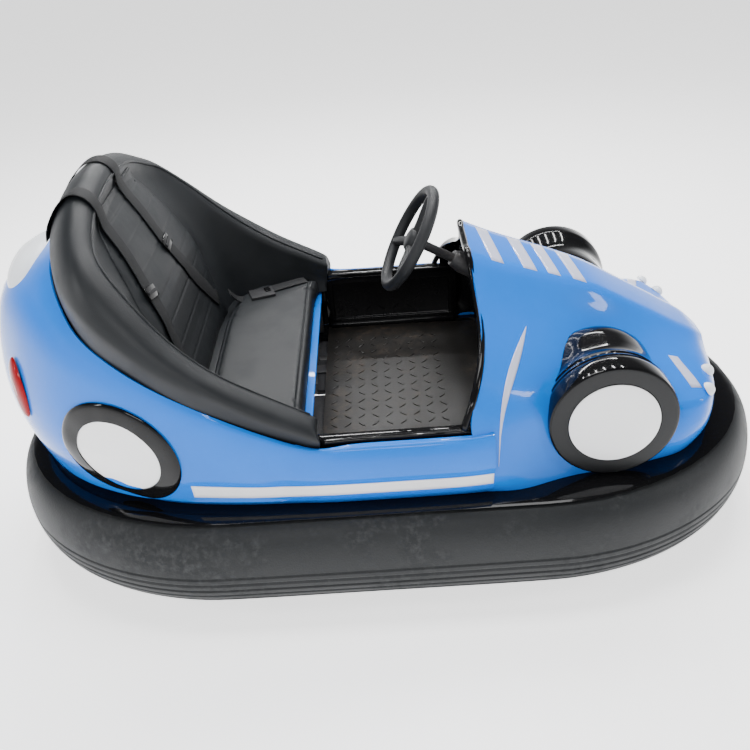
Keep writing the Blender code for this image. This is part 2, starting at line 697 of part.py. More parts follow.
lap_line = [(-0.402, 0.234, 0.530), (-0.388, 0.239, 0.504), (-0.368, 0.245, 0.4945), (-0.350, 0.2508, 0.4945)]
strap("lap_belt", lap_line, 0.020, 0.0035, cross_way)
buckle_start = Vector(lap_line[-1]) + run * 0.0008 + Vector((0.0, 0.0, 0.0062))
strap("lap_buckle", [buckle_start, buckle_start + run * 0.068], 0.027, 0.016, cross_way)

# steering: wheel, shaft in its dash collar, post with the bevel drive, kingpin and fork

lean = math.radians(STEER_LEAN)
steer_axis = Vector((math.cos(lean), 0.0, -math.sin(lean)))
wheel_centre = Vector(STEER_CENTRE)
steer_up = Vector((math.sin(lean), 0.0, math.cos(lean)))
rings = []
for i in range(36):
    turn = 2 * math.pi * i / 36
    out = steer_up * math.cos(turn) + Vector((0.0, 1.0, 0.0)) * math.sin(turn)
    ring = []
    for j in range(8):
        roll = 2 * math.pi * j / 8
        ring.append(wheel_centre + out * (STEER_RADIUS + STEER_TUBE * math.cos(roll)) + steer_axis * (STEER_TUBE * math.sin(roll)))
    rings.append(ring)
wheel = build("steering_rim", *loft(rings, closed=True), VINYL)

spoke_points = []
hub_plan = []
hub_radius = 0.030
spoke_reach = STEER_RADIUS - STEER_TUBE - 0.0004
for turn_deg in (90, 210, 330):
    turn = math.radians(turn_deg)
    for offset, reach in ((-0.38, hub_radius), (-0.10, spoke_reach), (0.10, spoke_reach), (0.38, hub_radius)):
        if reach > hub_radius:
            wide = 0.013 * math.copysign(1.0, offset)
            across = math.atan2(wide, reach)
            radius = reach
            hub_plan.append((radius, turn + across))
        else:
            hub_plan.append((hub_radius, turn + offset * 1.05))
rings = []
for height in (-0.002, 0.004):
    ring = []
    for radius, turn in hub_plan:
        out = Vector((0.0, 1.0, 0.0)) * math.cos(turn) + steer_up * math.sin(turn)
        ring.append(wheel_centre + out * radius + steer_axis * (height + 0.008 * (1 - radius / spoke_reach)))
    rings.append(ring)
build("steering_spokes", *loft(rings), STEEL)

shaft_start = wheel_centre + steer_axis * 0.0107
post_x = KINGPIN_X - 0.045
shaft_length = (post_x - 0.002 - shaft_start.x) / steer_axis.x - SHAFT_RADIUS * math.tan(lean)
shaft_end = shaft_start + steer_axis * shaft_length
shaft_profile = [(0.0, 0.0), (0.024, 0.0), (0.024, 0.016), (SHAFT_RADIUS, 0.022), (SHAFT_RADIUS, shaft_length), (0.0, shaft_length)]
build("steering_shaft", *lathe(shaft_profile, shaft_start, steer_axis, 20), STEEL)

dash_x = 0.2450
dash_thick = 0.008
dash_foot = 0.500
under = nose_grid - grid_normals(nose_grid, (0.45, 0.0, 0.25)) * (SHELL_THICK + 0.0024)
edge_line = []
for near, far in zip(under[0], under[1]):
    blend = (dash_x + dash_thick + 0.001 - near[0]) / (far[0] - near[0])
    edge_line.append(near + (far - near) * blend)
dash_loop = []
for a, b in zip(edge_line, edge_line[1:]):
    if a[2] > dash_foot:
        dash_loop.append((a[1], a[2]))
    if (a[2] > dash_foot) != (b[2] > dash_foot):
        part_way = (dash_foot - a[2]) / (b[2] - a[2])
        dash_loop.append((a[1] + (b[1] - a[1]) * part_way, dash_foot))
dash_loop += [(-0.320, dash_foot), (-0.250, 0.560), (-0.100, 0.585), (0.100, 0.585), (0.250, 0.560), (0.320, dash_foot)]
rings = [[(x, y, z) for y, z in dash_loop] for x in (dash_x, dash_x + dash_thick)]
dash = build("dash_panel", *loft(rings), BLACK)
through = wheel_centre + steer_axis * ((dash_x + 0.004 - wheel_centre.x) / steer_axis.x)
hole_cutter = build("collar_hole", *cylinder(through - steer_axis * 0.05, through + steer_axis * 0.05, 0.0273), BLACK, cutters)
cut(dash, hole_cutter)
collar = [(SHAFT_RADIUS + 0.0006, -0.055), (0.0190, -0.055), (0.0270, -0.030), (0.0270, 0.030), (SHAFT_RADIUS + 0.0006, 0.030)]
build("column_collar", *lathe(collar, through, steer_axis, 24), STEEL)

post_low = (post_x, -0.035, RAIL_TOP + TOUCH)
post_high = (KINGPIN_X + 0.045, 0.035, 0.630)
build("steering_post", *box(post_low, post_high), STEEL)

fork_top = RAIL_TOP - RAIL_HEIGHT - 0.006
fork_half = 0.5 * DRIVE_WIDTH + 0.008
fork_section = [
    (-fork_half - 0.008, DRIVE_RADIUS - 0.030),
    (-fork_half, DRIVE_RADIUS - 0.030),
    (-fork_half, fork_top - 0.012),
    (fork_half, fork_top - 0.012),
    (fork_half, DRIVE_RADIUS - 0.030),
    (fork_half + 0.008, DRIVE_RADIUS - 0.030),
    (fork_half + 0.008, fork_top),
    (-fork_half - 0.008, fork_top),
]
rings = [[(KINGPIN_X + x, y, z) for y, z in fork_section] for x in (-0.045, 0.045)]
build("drive_fork", *loft(rings), STEEL)
pin_low = (KINGPIN_X, 0.0, fork_top + TOUCH)
pin_high = (KINGPIN_X, 0.0, RAIL_TOP - 0.0004)
build("kingpin", *cylinder(pin_low, pin_high, 0.0145, 20), STEEL)
motor_low = (KINGPIN_X, fork_half + 0.0083, DRIVE_RADIUS + 0.010)
motor_high = (KINGPIN_X, fork_half + 0.1100, DRIVE_RADIUS + 0.010)
build("drive_motor", *cylinder(motor_low, motor_high, 0.058, 24), STEEL)


def road_wheel(name, centre, radius, width, axle):
    half = 0.5 * width
    profile = [
        (0.0, -axle),
        (0.010, -axle),
        (0.010, -half),
        (radius - 0.006, -half),
        (radius, -half + 0.008),
        (radius, half - 0.008),
        (radius - 0.006, half),
        (0.010, half),
        (0.010, axle),
        (0.0, axle),
    ]
    return build(name, *lathe(profile, centre, (0.0, 1.0, 0.0), 32), RUBBER)


road_wheel("drive_wheel", (KINGPIN_X, 0.0, DRIVE_RADIUS), DRIVE_RADIUS, DRIVE_WIDTH, fork_half - TOUCH)
trail_half = 0.5 * TRAIL_WIDTH + 0.007
for tag, side in SIDES:
    y = side * TRAIL_Y
    road_wheel("trail_wheel_" + tag, (TRAIL_X, y, TRAIL_RADIUS), TRAIL_RADIUS, TRAIL_WIDTH, trail_half - TOUCH)
    top = RAIL_TOP - RAIL_HEIGHT - TOUCH
    section = [
        (-trail_half - 0.006, TRAIL_RADIUS - 0.022),
        (-trail_half, TRAIL_RADIUS - 0.022),
        (-trail_half, top - 0.008),
        (trail_half, top - 0.008),
        (trail_half, TRAIL_RADIUS - 0.022),
        (trail_half + 0.006, TRAIL_RADIUS - 0.022),
        (trail_half + 0.006, top),
        (-trail_half - 0.006, top),
    ]
    rings = [[(TRAIL_X + x, y + w, z) for w, z in section] for x in (-0.025, 0.025)]
    build("trail_fork_" + tag, *loft(rings), STEEL)

# battery block under the seat, and the foot pedal

build("battery_block", *box((-0.505, -0.195, RAIL_TOP + TOUCH), (-0.315, 0.195, 0.4150)), STEEL)
pedal_section = [(0.300, PLATE_TOP + TOUCH), (0.345, PLATE_TOP + TOUCH), (0.345, 0.362), (0.338, 0.366)]
rings = [[(x, y, z) for x, z in pedal_section] for y in (-0.175, -0.085)]
build("foot_pedal", *loft(rings), RUBBER)
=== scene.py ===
import math

import bmesh
import bpy
from mathutils import Matrix, Vector
from mathutils.bvhtree import BVHTree
from mathutils.kdtree import KDTree


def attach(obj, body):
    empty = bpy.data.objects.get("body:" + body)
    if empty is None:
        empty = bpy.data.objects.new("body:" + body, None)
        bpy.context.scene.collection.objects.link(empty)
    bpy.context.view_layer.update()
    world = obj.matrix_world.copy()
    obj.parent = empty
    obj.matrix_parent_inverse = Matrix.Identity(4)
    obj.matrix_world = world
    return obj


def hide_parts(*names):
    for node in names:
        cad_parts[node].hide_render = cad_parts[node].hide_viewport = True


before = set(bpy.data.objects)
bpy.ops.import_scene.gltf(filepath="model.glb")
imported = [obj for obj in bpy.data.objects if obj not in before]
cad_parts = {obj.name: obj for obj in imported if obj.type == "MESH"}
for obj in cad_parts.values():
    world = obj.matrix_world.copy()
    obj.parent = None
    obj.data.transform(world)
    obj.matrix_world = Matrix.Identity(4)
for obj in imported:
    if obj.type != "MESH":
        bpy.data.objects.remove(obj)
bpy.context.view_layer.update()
print("frame loaded")


def startGroup(name, inputs, output):
    group = bpy.data.node_groups.new(name, "ShaderNodeTree")
    for label, value in inputs.items():
        socket = group.interface.new_socket(name=label, in_out="INPUT", socket_type="NodeSocketFloat")
        socket.default_value = value
    group.interface.new_socket(name=output, in_out="OUTPUT", socket_type="NodeSocketFloat")
    return group, group.nodes.new("NodeGroupInput"), group.nodes.new("NodeGroupOutput")


def place(tree, kind, settings=None, **values):
    node = tree.nodes.new(kind)
    for key, value in (settings or {}).items():
        setattr(node, key, value)
    for key, value in values.items():
        node.inputs[key.replace("_", " ")].default_value = value
    return node


def wire(tree, *runs):
    # each run is a node, its output, the next node and its input
    for source, leaving, target, entering in runs:
        tree.links.new(source.outputs[leaving], target.inputs[entering])


def makeBlotches():
    # soft uneven patches, 0 to 1
    group, entry, leave = startGroup("blotches", {"Scale": 6.0, "Low": 0.45, "High": 0.7}, "Mask")
    where = place(group, "ShaderNodeTexCoord")
    big = place(group, "ShaderNodeTexNoise", Detail=6.0, Roughness=0.62)
    ramp = place(group, "ShaderNodeMapRange", {"interpolation_type": "SMOOTHSTEP"})
    wire(group, (where, "Object", big, "Vector"), (entry, "Scale", big, "Scale"),
         (big, "Fac", ramp, "Value"), (entry, "Low", ramp, "From Min"),
         (entry, "High", ramp, "From Max"), (ramp, "Result", leave, "Mask"))
    return group


def makeGrain():
    # fine pebbled height: cells over a finer noise
    group, entry, leave = startGroup("pebbleGrain", {"Scale": 400.0, "Fine": 0.35}, "Height")
    where = place(group, "ShaderNodeTexCoord")
    cells = place(group, "ShaderNodeTexVoronoi", {"feature": "SMOOTH_F1"}, Smoothness=0.6)
    fine = place(group, "ShaderNodeTexNoise", Detail=3.0)
    finer = place(group, "ShaderNodeMath", {"operation": "MULTIPLY"})
    finer.inputs[1].default_value = 2.7
    amount = place(group, "ShaderNodeMath", {"operation": "MULTIPLY"})
    total = place(group, "ShaderNodeMath", {"operation": "ADD"})
    wire(group, (where, "Object", cells, "Vector"), (where, "Object", fine, "Vector"),
         (entry, "Scale", cells, "Scale"), (entry, "Scale", finer, 0), (finer, 0, fine, "Scale"),
         (fine, "Fac", amount, 0), (entry, "Fine", amount, 1), (cells, "Distance", total, 0),
         (amount, 0, total, 1), (total, 0, leave, "Height"))
    return group


def makeScratches():
    # short hairline marks where two stretched noises cross
    group, entry, leave = startGroup("hairlines", {"Scale": 30.0, "Width": 0.02}, "Mask")
    where = place(group, "ShaderNodeTexCoord")
    both = place(group, "ShaderNodeMath", {"operation": "MULTIPLY"})
    for index, (turn, stretch) in enumerate(((0.5, 14.0), (-0.9, 18.0))):
        aim = place(group, "ShaderNodeMapping")
        aim.inputs["Rotation"].default_value = (turn, 0.4 * turn, turn)
        aim.inputs["Scale"].default_value = (1.0, stretch, 1.0)
        noise = place(group, "ShaderNodeTexNoise", Detail=2.0)
        away = place(group, "ShaderNodeMath", {"operation": "SUBTRACT"})
        away.inputs[1].default_value = 0.5
        size = place(group, "ShaderNodeMath", {"operation": "ABSOLUTE"})
        thin = place(group, "ShaderNodeMath", {"operation": "LESS_THAN"})
        wire(group, (where, "Object", aim, "Vector"), (aim, 0, noise, "Vector"),
             (entry, "Scale", noise, "Scale"), (noise, "Fac", away, 0), (away, 0, size, 0),
             (size, 0, thin, 0), (entry, "Width", thin, 1), (thin, 0, both, index))
    wire(group, (both, 0, leave, "Mask"))
    return group


blotches = makeBlotches()
pebbleGrain = makeGrain()
hairlines = makeScratches()


def startMaterial(name, colour, rough, **plain):
    made = bpy.data.materials.new(name)
    made.use_nodes = True
    tree = made.node_tree
    shader = tree.nodes["Principled BSDF"]
    shader.inputs["Base Color"].default_value = (*colour, 1.0)
    shader.inputs["Roughness"].default_value = rough
    for key, value in plain.items():
        shader.inputs[key.replace("_", " ")].default_value = value
    made.diffuse_color = (*colour, 1.0)
    return made, tree, shader


def useGroup(tree, group, **values):
    node = tree.nodes.new("ShaderNodeGroup")
    node.node_tree = group
    for key, value in values.items():
        node.inputs[key].default_value = value
    return node


def twoColours(tree, mask, first, second):
    mix = place(tree, "ShaderNodeMix", {"data_type": "RGBA"})
    mix.inputs[6].default_value = (*first, 1.0)
    mix.inputs[7].default_value = (*second, 1.0)
    tree.links.new(mask, mix.inputs[0])
    return mix.outputs[2]


def spread(tree, mask, low, high):
    ramp = place(tree, "ShaderNodeMapRange", To_Min=low, To_Max=high)
    tree.links.new(mask, ramp.inputs["Value"])
    return ramp.outputs["Result"]


def surfaceLook(tree, shader, colours, roughness, relief):
    # colours and roughness: mask, low, high; relief: height, strength, distance
    height, strength, distance = relief
    bump = place(tree, "ShaderNodeBump", Strength=strength, Distance=distance)
    tree.links.new(height, bump.inputs["Height"])
    tree.links.new(twoColours(tree, *colours), shader.inputs["Base Color"])
    tree.links.new(spread(tree, *roughness), shader.inputs["Roughness"])
    tree.links.new(bump.outputs["Normal"], shader.inputs["Normal"])


def glossyShell(name, colour, shade, rough, coat, scratchAmount):
    # gel-coated moulding: slight colour drift, swirl marks, orange peel under a clear coat
    made, tree, shader = startMaterial(name, colour, rough, Coat_Weight=coat, Coat_Roughness=0.03,
        Coat_IOR=1.3, Specular_IOR_Level=0.06)
    drift = useGroup(tree, blotches, Scale=3.2, Low=0.35, High=0.75).outputs["Mask"]
    marks = useGroup(tree, hairlines, Scale=26.0, Width=0.012).outputs["Mask"]
    peel = useGroup(tree, pebbleGrain, Scale=170.0, Fine=0.2).outputs["Height"]
    surfaceLook(tree, shader, (drift, colour, shade), (marks, rough, rough + scratchAmount),
        (peel, 0.025, 0.0006))
    return made


def pebbled(name, colour, worn, rough, scale, depth):
    made, tree, shader = startMaterial(name, colour, rough, Specular_IOR_Level=0.28)
    patches = useGroup(tree, blotches, Scale=9.0, Low=0.42, High=0.72).outputs["Mask"]
    grain = useGroup(tree, pebbleGrain, Scale=scale, Fine=0.4).outputs["Height"]
    surfaceLook(tree, shader, (patches, colour, worn), (patches, rough, rough + 0.14), (grain, 0.35, depth))
    return made


def patchyDustAndSheen(name, colour, dustAndSheen, rough):
    # the second colour shows only where large and fine patches meet: dust on rubber and frame, partly wear
    # and partly a painted bronze sheen on the chequer steel
    made, tree, shader = startMaterial(name, colour, rough, Specular_IOR_Level=0.32)
    patches = useGroup(tree, blotches, Scale=6.5, Low=0.42, High=0.74)
    fine = useGroup(tree, blotches, Scale=60.0, Low=0.4, High=0.75)
    grain = useGroup(tree, pebbleGrain, Scale=260.0, Fine=0.6).outputs["Height"]
    both = place(tree, "ShaderNodeMath", {"operation": "MULTIPLY"})
    wire(tree, (patches, "Mask", both, 0), (fine, "Mask", both, 1))
    surfaceLook(tree, shader, (both.outputs[0], colour, dustAndSheen), (patches.outputs["Mask"], rough, rough + 0.2),
        (grain, 0.4, 0.0008))
    return made


bodyBlue = glossyShell("bodyBlue", (0.0, 0.16, 0.7), (0.0, 0.146, 0.64), 0.25, 0.55, 0.12)
glossBlack = glossyShell("glossBlack", (0.004, 0.004, 0.0045), (0.006, 0.006, 0.0065), 0.12, 0.6, 0.2)
bumperRubber = patchyDustAndSheen("bumperRubber", (0.0085, 0.01, 0.0112), (0.042, 0.044, 0.046), 0.52)
tyreRubber = patchyDustAndSheen("tyreRubber", (0.018, 0.018, 0.019), (0.06, 0.058, 0.055), 0.7)
seatVinyl = pebbled("seatVinyl", (0.0085, 0.01, 0.0118), (0.012, 0.0138, 0.016), 0.46, 620.0, 0.0005)
wheelGrip = pebbled("wheelGrip", (0.01, 0.011, 0.013), (0.016, 0.017, 0.019), 0.5, 800.0, 0.0003)
discWhite = glossyShell("discWhite", (0.95, 0.955, 0.96), (0.92, 0.925, 0.93), 0.34, 0.15, 0.2)
framePaint = patchyDustAndSheen("framePaint", (0.02, 0.02, 0.022), (0.11, 0.1, 0.09), 0.42)
# the bronze patches on the floor plate are partly wear and partly a painted sheen
chequerSteel = patchyDustAndSheen("chequerSteel", (0.006, 0.0055, 0.005), (0.055, 0.038, 0.025), 0.42)
beltWebbing = pebbled("beltWebbing", (0.006, 0.0065, 0.0075), (0.01, 0.0105, 0.012), 0.72, 1500.0, 0.0004)
lampClear = glossyShell("lampClear", (0.8, 0.83, 0.86), (0.7, 0.74, 0.79), 0.1, 0.6, 0.1)
lampRed = glossyShell("lampRed", (0.3, 0.006, 0.01), (0.2, 0.004, 0.008), 0.12, 0.6, 0.1)
darkCase = pebbled("darkCase", (0.012, 0.012, 0.014), (0.02, 0.02, 0.022), 0.6, 300.0, 0.0006)
stripeWhite = glossyShell("stripeWhite", (0.82, 0.82, 0.84), (0.72, 0.72, 0.75), 0.3, 0.3, 0.2)
# silver of the bonnet and fender stripes, also used for the painted crease highlight
silverStripeAndHighlight = glossyShell("silverStripeAndHighlight", (0.5, 0.52, 0.66), (0.42, 0.44, 0.58), 0.28, 0.6, 0.2)
mattBlack = pebbled("mattBlack", (0.008, 0.0085, 0.0095), (0.013, 0.0135, 0.0145), 0.42, 500.0, 0.0002)
print("materials made")

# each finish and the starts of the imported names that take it
finishTable = [
    (bodyBlue, "front_shell rear_shell sill_ seat_tub seat_pan"),
    (seatVinyl, "surround_roll backrest seat_cushion"),
    (glossBlack, "cockpit_wall dash_panel front_drum rear_ring bumper_rim"),
    (framePaint, "seat_riser chassis_frame steering_post drive_fork trail_fork kingpin column_collar"),
    (framePaint, "steering_shaft"),
    (discWhite, "front_disc rear_disc"),
    (bumperRubber, "bumper_tube"),
    (darkCase, "drive_motor battery_block lap_buckle"),
    (tyreRubber, "drive_wheel trail_wheel"),
    (chequerSteel, "floor_plate foot_pedal"),
    (wheelGrip, "steering_rim steering_spokes"),
    (lampClear, "hump_lamp nose_lamp"),
    (lampRed, "tail_lamp"),
    (beltWebbing, "lap_belt shoulder_belt"),
]
finishOf = {start: material for material, starts in finishTable for start in starts.split()}


def finishFor(name):
    return finishOf[max((start for start in finishOf if name.startswith(start)), key=len)]


def clothe(obj, *materials):
    if len(obj.data.materials):
        obj.data.materials.clear()
    for material in materials:
        obj.data.materials.append(material)


for nodeName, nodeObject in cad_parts.items():
    clothe(nodeObject, finishFor(nodeName))

movingBodies = {"steering_shaft": "steering", "drive_fork": "drive_unit", "drive_motor": "drive_unit",
    "kingpin": "drive_unit"}


def weldedCopy(node):
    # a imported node's own shape, welded, with its flat triangles paired into quads
    bm = bmesh.new()
    bm.from_mesh(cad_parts[node].data)
    bmesh.ops.remove_doubles(bm, verts=bm.verts, dist=0.00003)
    bmesh.ops.dissolve_degenerate(bm, edges=bm.edges, dist=0.00003)
    bmesh.ops.join_triangles(bm, faces=bm.faces, angle_face_threshold=math.radians(28),
        angle_shape_threshold=math.radians(70))
    return bm


def mirrored(points):
    return [Vector((p.x, -p.y, p.z)) for p in points]


def turnOutward(bm, outwardness):
    # every face the same way round, then outwards by the sign of the summed measure
    bmesh.ops.recalc_face_normals(bm, faces=bm.faces)
    if sum(outwardness(face) for face in bm.faces) < 0:
        bmesh.ops.reverse_faces(bm, faces=bm.faces)


def addSubdivision(obj, levels):
    more = obj.modifiers.new("rounding", "SUBSURF")
    more.levels = levels
    more.render_levels = levels


def smoothFaces(obj):
    for face in obj.data.polygons:
        face.use_smooth = True


def settle(name, bm, materials, body="chassis", stands=(), sharp=None, levels=0, outward=False):
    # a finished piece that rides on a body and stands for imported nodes
    if outward:
        bmesh.ops.recalc_face_normals(bm, faces=bm.faces)
    crease = bm.edges.layers.float.get("crease_edge") or bm.edges.layers.float.new("crease_edge")
    for face in bm.faces:
        face.smooth = True
    if sharp is not None:
        limit = math.radians(sharp)
        for edge in bm.edges:
            if edge.is_manifold and edge.calc_face_angle(0.0) > limit:
                edge[crease] = 1.0
                edge.smooth = False
    mesh = bpy.data.meshes.new(name)
    bm.to_mesh(mesh)
    bm.free()
    obj = bpy.data.objects.new(name, mesh)
    bpy.context.scene.collection.objects.link(obj)
    clothe(obj, *(materials if isinstance(materials, (list, tuple)) else [materials]))
    if levels:
        addSubdivision(obj, levels)
    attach(obj, body)
    if stands:
        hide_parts(*stands)
    return obj


def finalMesh(obj):
    graph = bpy.context.evaluated_depsgraph_get()
    return bpy.data.meshes.new_from_object(obj.evaluated_get(graph), depsgraph=graph)


def applyModifiers(obj):
    fresh = finalMesh(obj)
    old = obj.data
    obj.modifiers.clear()
    obj.data = fresh
    bpy.data.meshes.remove(old)


def curvePath(points, extra):
    # points of a smooth curve through the given ones
    points = [Vector(point) for point in points]
    ends = [points[0] * 2 - points[1], *points, points[-1] * 2 - points[-2]]
    line = []
    for i in range(len(points) - 1):
        p0, p1, p2, p3 = ends[i:i + 4]
        for step in range(extra + 1):
            t = step / (extra + 1)
            line.append(0.5 * (2 * p1 + (p2 - p0) * t + (2 * p0 - 5 * p1 + 4 * p2 - p3) * t * t
                + (3 * p1 - 3 * p2 + p3 - p0) * t ** 3))
    return line + [points[-1]]


def bridgeSections(bm, sections, closedSection=False):
    # skin a row of point lists with quads and return its vertex rows
    rows = []
    for section in sections:
        row = [bm.verts.new(point) for point in section]
        for a, b in zip(row, row[1:]):
            bm.edges.new((a, b))
        if closedSection:
            bm.edges.new((row[-1], row[0]))
        rows.append(row)
    for one, two in zip(rows, rows[1:]):
        for j in range(len(one) if closedSection else len(one) - 1):
            k = (j + 1) % len(one)
            bm.faces.new((one[j], one[k], two[k], two[j]))
    return rows


def tubePiece(name, points, radius, material, body="chassis", roundness=2, extra=4):
    # a round bead or rod along a smooth path
    line = curvePath(points, extra)
    data = bpy.data.curves.new(name, "CURVE")
    data.dimensions = "3D"
    data.bevel_depth = radius
    data.bevel_resolution = roundness
    data.use_fill_caps = True
    spline = data.splines.new("POLY")
    spline.points.add(len(line) - 1)
    for spot, point in zip(spline.points, line):
        spot.co = (*point, 1.0)
    shape = bpy.data.objects.new(name + "Path", data)
    bpy.context.scene.collection.objects.link(shape)
    mesh = finalMesh(shape)
    bpy.data.objects.remove(shape)
    bm = bmesh.new()
    bm.from_mesh(mesh)
    bpy.data.meshes.remove(mesh)
    bmesh.ops.remove_doubles(bm, verts=bm.verts, dist=0.00002)
    return settle(name, bm, material, body, outward=True)


def spunPiece(name, profile, centre, axis, materials, body="chassis", stands=(), steps=96, sharp=None,
        split=None):
    # spin a profile of (radius, along) about an axis; split picks each face's material
    along = Vector(axis).normalized()
    side = along.orthogonal().normalized()
    centre = Vector(centre)
    bm = bmesh.new()
    row = [bm.verts.new(centre + side * r + along * h) for r, h in profile]
    edges = [bm.edges.new(pair) for pair in zip(row, row[1:])]
    bmesh.ops.spin(bm, geom=row + edges, cent=centre, axis=along, angle=math.tau, steps=steps, use_merge=True)
    bmesh.ops.remove_doubles(bm, verts=bm.verts, dist=0.00001)
    bmesh.ops.recalc_face_normals(bm, faces=bm.faces)
    if split:
        for face in bm.faces:
            middle = face.calc_center_median() - centre
            height = middle.dot(along)
            face.material_index = split((middle - along * height).length, height)
    return settle(name, bm, materials, body, stands, sharp)


def roundEdges(bm, edges, offset, segments):
    bmesh.ops.bevel(bm, geom=edges, offset=offset, segments=segments, profile=0.5, affect="EDGES",
        material=-1, clamp_overlap=True)


def cubeBetween(low, high):
    # low and high may be the wrong way round on the right side, so the faces are turned outwards
    bm = bmesh.new()
    bmesh.ops.create_cube(bm, size=1.0)
    low, high = Vector(low), Vector(high)
    bmesh.ops.scale(bm, verts=bm.verts, vec=high - low)
    bmesh.ops.translate(bm, verts=bm.verts, vec=(low + high) / 2)
    bmesh.ops.recalc_face_normals(bm, faces=bm.faces)
    return bm


def boxPiece(name, low, high, material, edge=0.002, segments=2):
    bm = cubeBetween(low, high)
    roundEdges(bm, bm.edges, edge, segments)
    return settle(name, bm, material, sharp=50)


def bevelledNode(node, edge=0.0015, segments=2):
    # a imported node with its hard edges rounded
    bm = weldedCopy(node)
    limit = math.radians(35)
    hard = [e for e in bm.edges if e.is_manifold and e.calc_face_angle(0.0) > limit]
    roundEdges(bm, hard, edge, segments)
    return settle(node + "_fine", bm, finishFor(node), movingBodies.get(node, "chassis"), [node], sharp=40)


def roundedNode(node, sharp=60, levels=2):
    return settle(node + "_fine", weldedCopy(node), finishFor(node), "chassis", [node], sharp=sharp,
        levels=levels)


bodyShape = {
    "bottom": 0.303,
    "wall": 0.005,
    "skirt": ((0.25, 0.4, 0.02), (0.45, 0.62, 0.034)),  # share along, share out, rise
    "haunch": 0.015,
    "recessDepth": 0.006,
    "recessTop": 0.384,
    "recessLow": 0.328,
    "tailCrease": 15,
}
# stations round the tail to the cockpit side, left half:
# bottom, belly, shoulder and top edge
tailStations = [
    ((-0.88, 0.0), (-0.955, 0.0, 0.49), (-0.914, 0.0, 0.7), (-0.728, 0.0, 0.842)),
    ((-0.858, 0.1), (-0.926, 0.102, 0.49), (-0.882, 0.102, 0.705), (-0.72, 0.108, 0.836)),
    ((-0.806, 0.19), (-0.868, 0.2, 0.485), (-0.822, 0.195, 0.705), (-0.702, 0.198, 0.812)),
    ((-0.748, 0.25), (-0.802, 0.28, 0.482), (-0.756, 0.276, 0.69), (-0.665, 0.282, 0.776)),
    ((-0.67, 0.305), (-0.71, 0.35, 0.47), (-0.68, 0.35, 0.65), (-0.618, 0.352, 0.738)),
    ((-0.56, 0.362), (-0.59, 0.4, 0.46), (-0.575, 0.405, 0.61), (-0.548, 0.398, 0.692)),
    ((-0.45, 0.393), (-0.45, 0.43, 0.44), (-0.455, 0.438, 0.56), (-0.455, 0.428, 0.635)),
    ((-0.31, 0.41), (-0.31, 0.448, 0.42), (-0.32, 0.458, 0.51), (-0.325, 0.445, 0.565)),
    ((-0.2, 0.415), (-0.2, 0.455, 0.4), (-0.21, 0.462, 0.465), (-0.215, 0.45, 0.51)),
    ((-0.13, 0.42), (-0.13, 0.457, 0.395), (-0.132, 0.461, 0.445), (-0.134, 0.446, 0.477)),
    ((-0.06, 0.421), (-0.06, 0.458, 0.395), (-0.06, 0.461, 0.44), (-0.06, 0.434, 0.476)),
    ((0.06, 0.421), (0.06, 0.458, 0.395), (0.06, 0.461, 0.44), (0.06, 0.433, 0.476)),
    ((0.18, 0.42), (0.18, 0.457, 0.395), (0.18, 0.46, 0.44), (0.18, 0.433, 0.477)),
    ((0.25, 0.416), (0.25, 0.45, 0.395), (0.25, 0.448, 0.44), (0.25, 0.425, 0.474)),
]
# sections of the bonnet from the cockpit rim to the nose:
# (outward, up) from the bottom edge to the middle
bonnetSections = [
    (0.2223, [(0.416, 0.303), (0.442, 0.35), (0.45, 0.42), (0.438, 0.487), (0.408, 0.548), (0.345, 0.596),
     (0.255, 0.637), (0.165, 0.688), (0.107, 0.752), (0.0, 0.754)]),
    (0.3, [(0.42, 0.303), (0.438, 0.35), (0.44, 0.415), (0.42, 0.475), (0.38, 0.527), (0.315, 0.572),
     (0.235, 0.612), (0.157, 0.66), (0.101, 0.722), (0.0, 0.724)]),
    (0.38, [(0.408, 0.303), (0.42, 0.345), (0.42, 0.4), (0.395, 0.455), (0.348, 0.503), (0.288, 0.546),
     (0.215, 0.585), (0.145, 0.632), (0.093, 0.693), (0.0, 0.695)]),
    (0.46, [(0.39, 0.303), (0.396, 0.342), (0.392, 0.385), (0.366, 0.437), (0.318, 0.482), (0.262, 0.522),
     (0.198, 0.56), (0.134, 0.604), (0.086, 0.665), (0.0, 0.667)]),
    (0.54, [(0.37, 0.303), (0.374, 0.34), (0.368, 0.38), (0.338, 0.427), (0.29, 0.466), (0.238, 0.5),
     (0.18, 0.533), (0.124, 0.574), (0.079, 0.632), (0.0, 0.634)]),
    (0.62, [(0.345, 0.303), (0.352, 0.34), (0.35, 0.385), (0.328, 0.43), (0.28, 0.462), (0.228, 0.486),
     (0.172, 0.51), (0.118, 0.542), (0.073, 0.585), (0.0, 0.587)]),
    (0.7, [(0.322, 0.303), (0.338, 0.345), (0.342, 0.395), (0.326, 0.44), (0.28, 0.464), (0.226, 0.478),
     (0.168, 0.49), (0.112, 0.509), (0.068, 0.538), (0.0, 0.54)]),
    (0.76, [(0.27, 0.303), (0.3, 0.345), (0.316, 0.395), (0.304, 0.444), (0.258, 0.462), (0.206, 0.468),
     (0.154, 0.473), (0.104, 0.481), (0.063, 0.501), (0.0, 0.503)]),
    (0.802, [(0.212, 0.303), (0.23, 0.345), (0.238, 0.388), (0.224, 0.426), (0.192, 0.444), (0.157, 0.451),
     (0.121, 0.456), (0.086, 0.462), (0.055, 0.476), (0.0, 0.478)]),
    (0.832, [(0.12, 0.303), (0.128, 0.34), (0.128, 0.375), (0.12, 0.398), (0.105, 0.412), (0.088, 0.42),
     (0.07, 0.428), (0.052, 0.436), (0.034, 0.45), (0.0, 0.452)]),
]


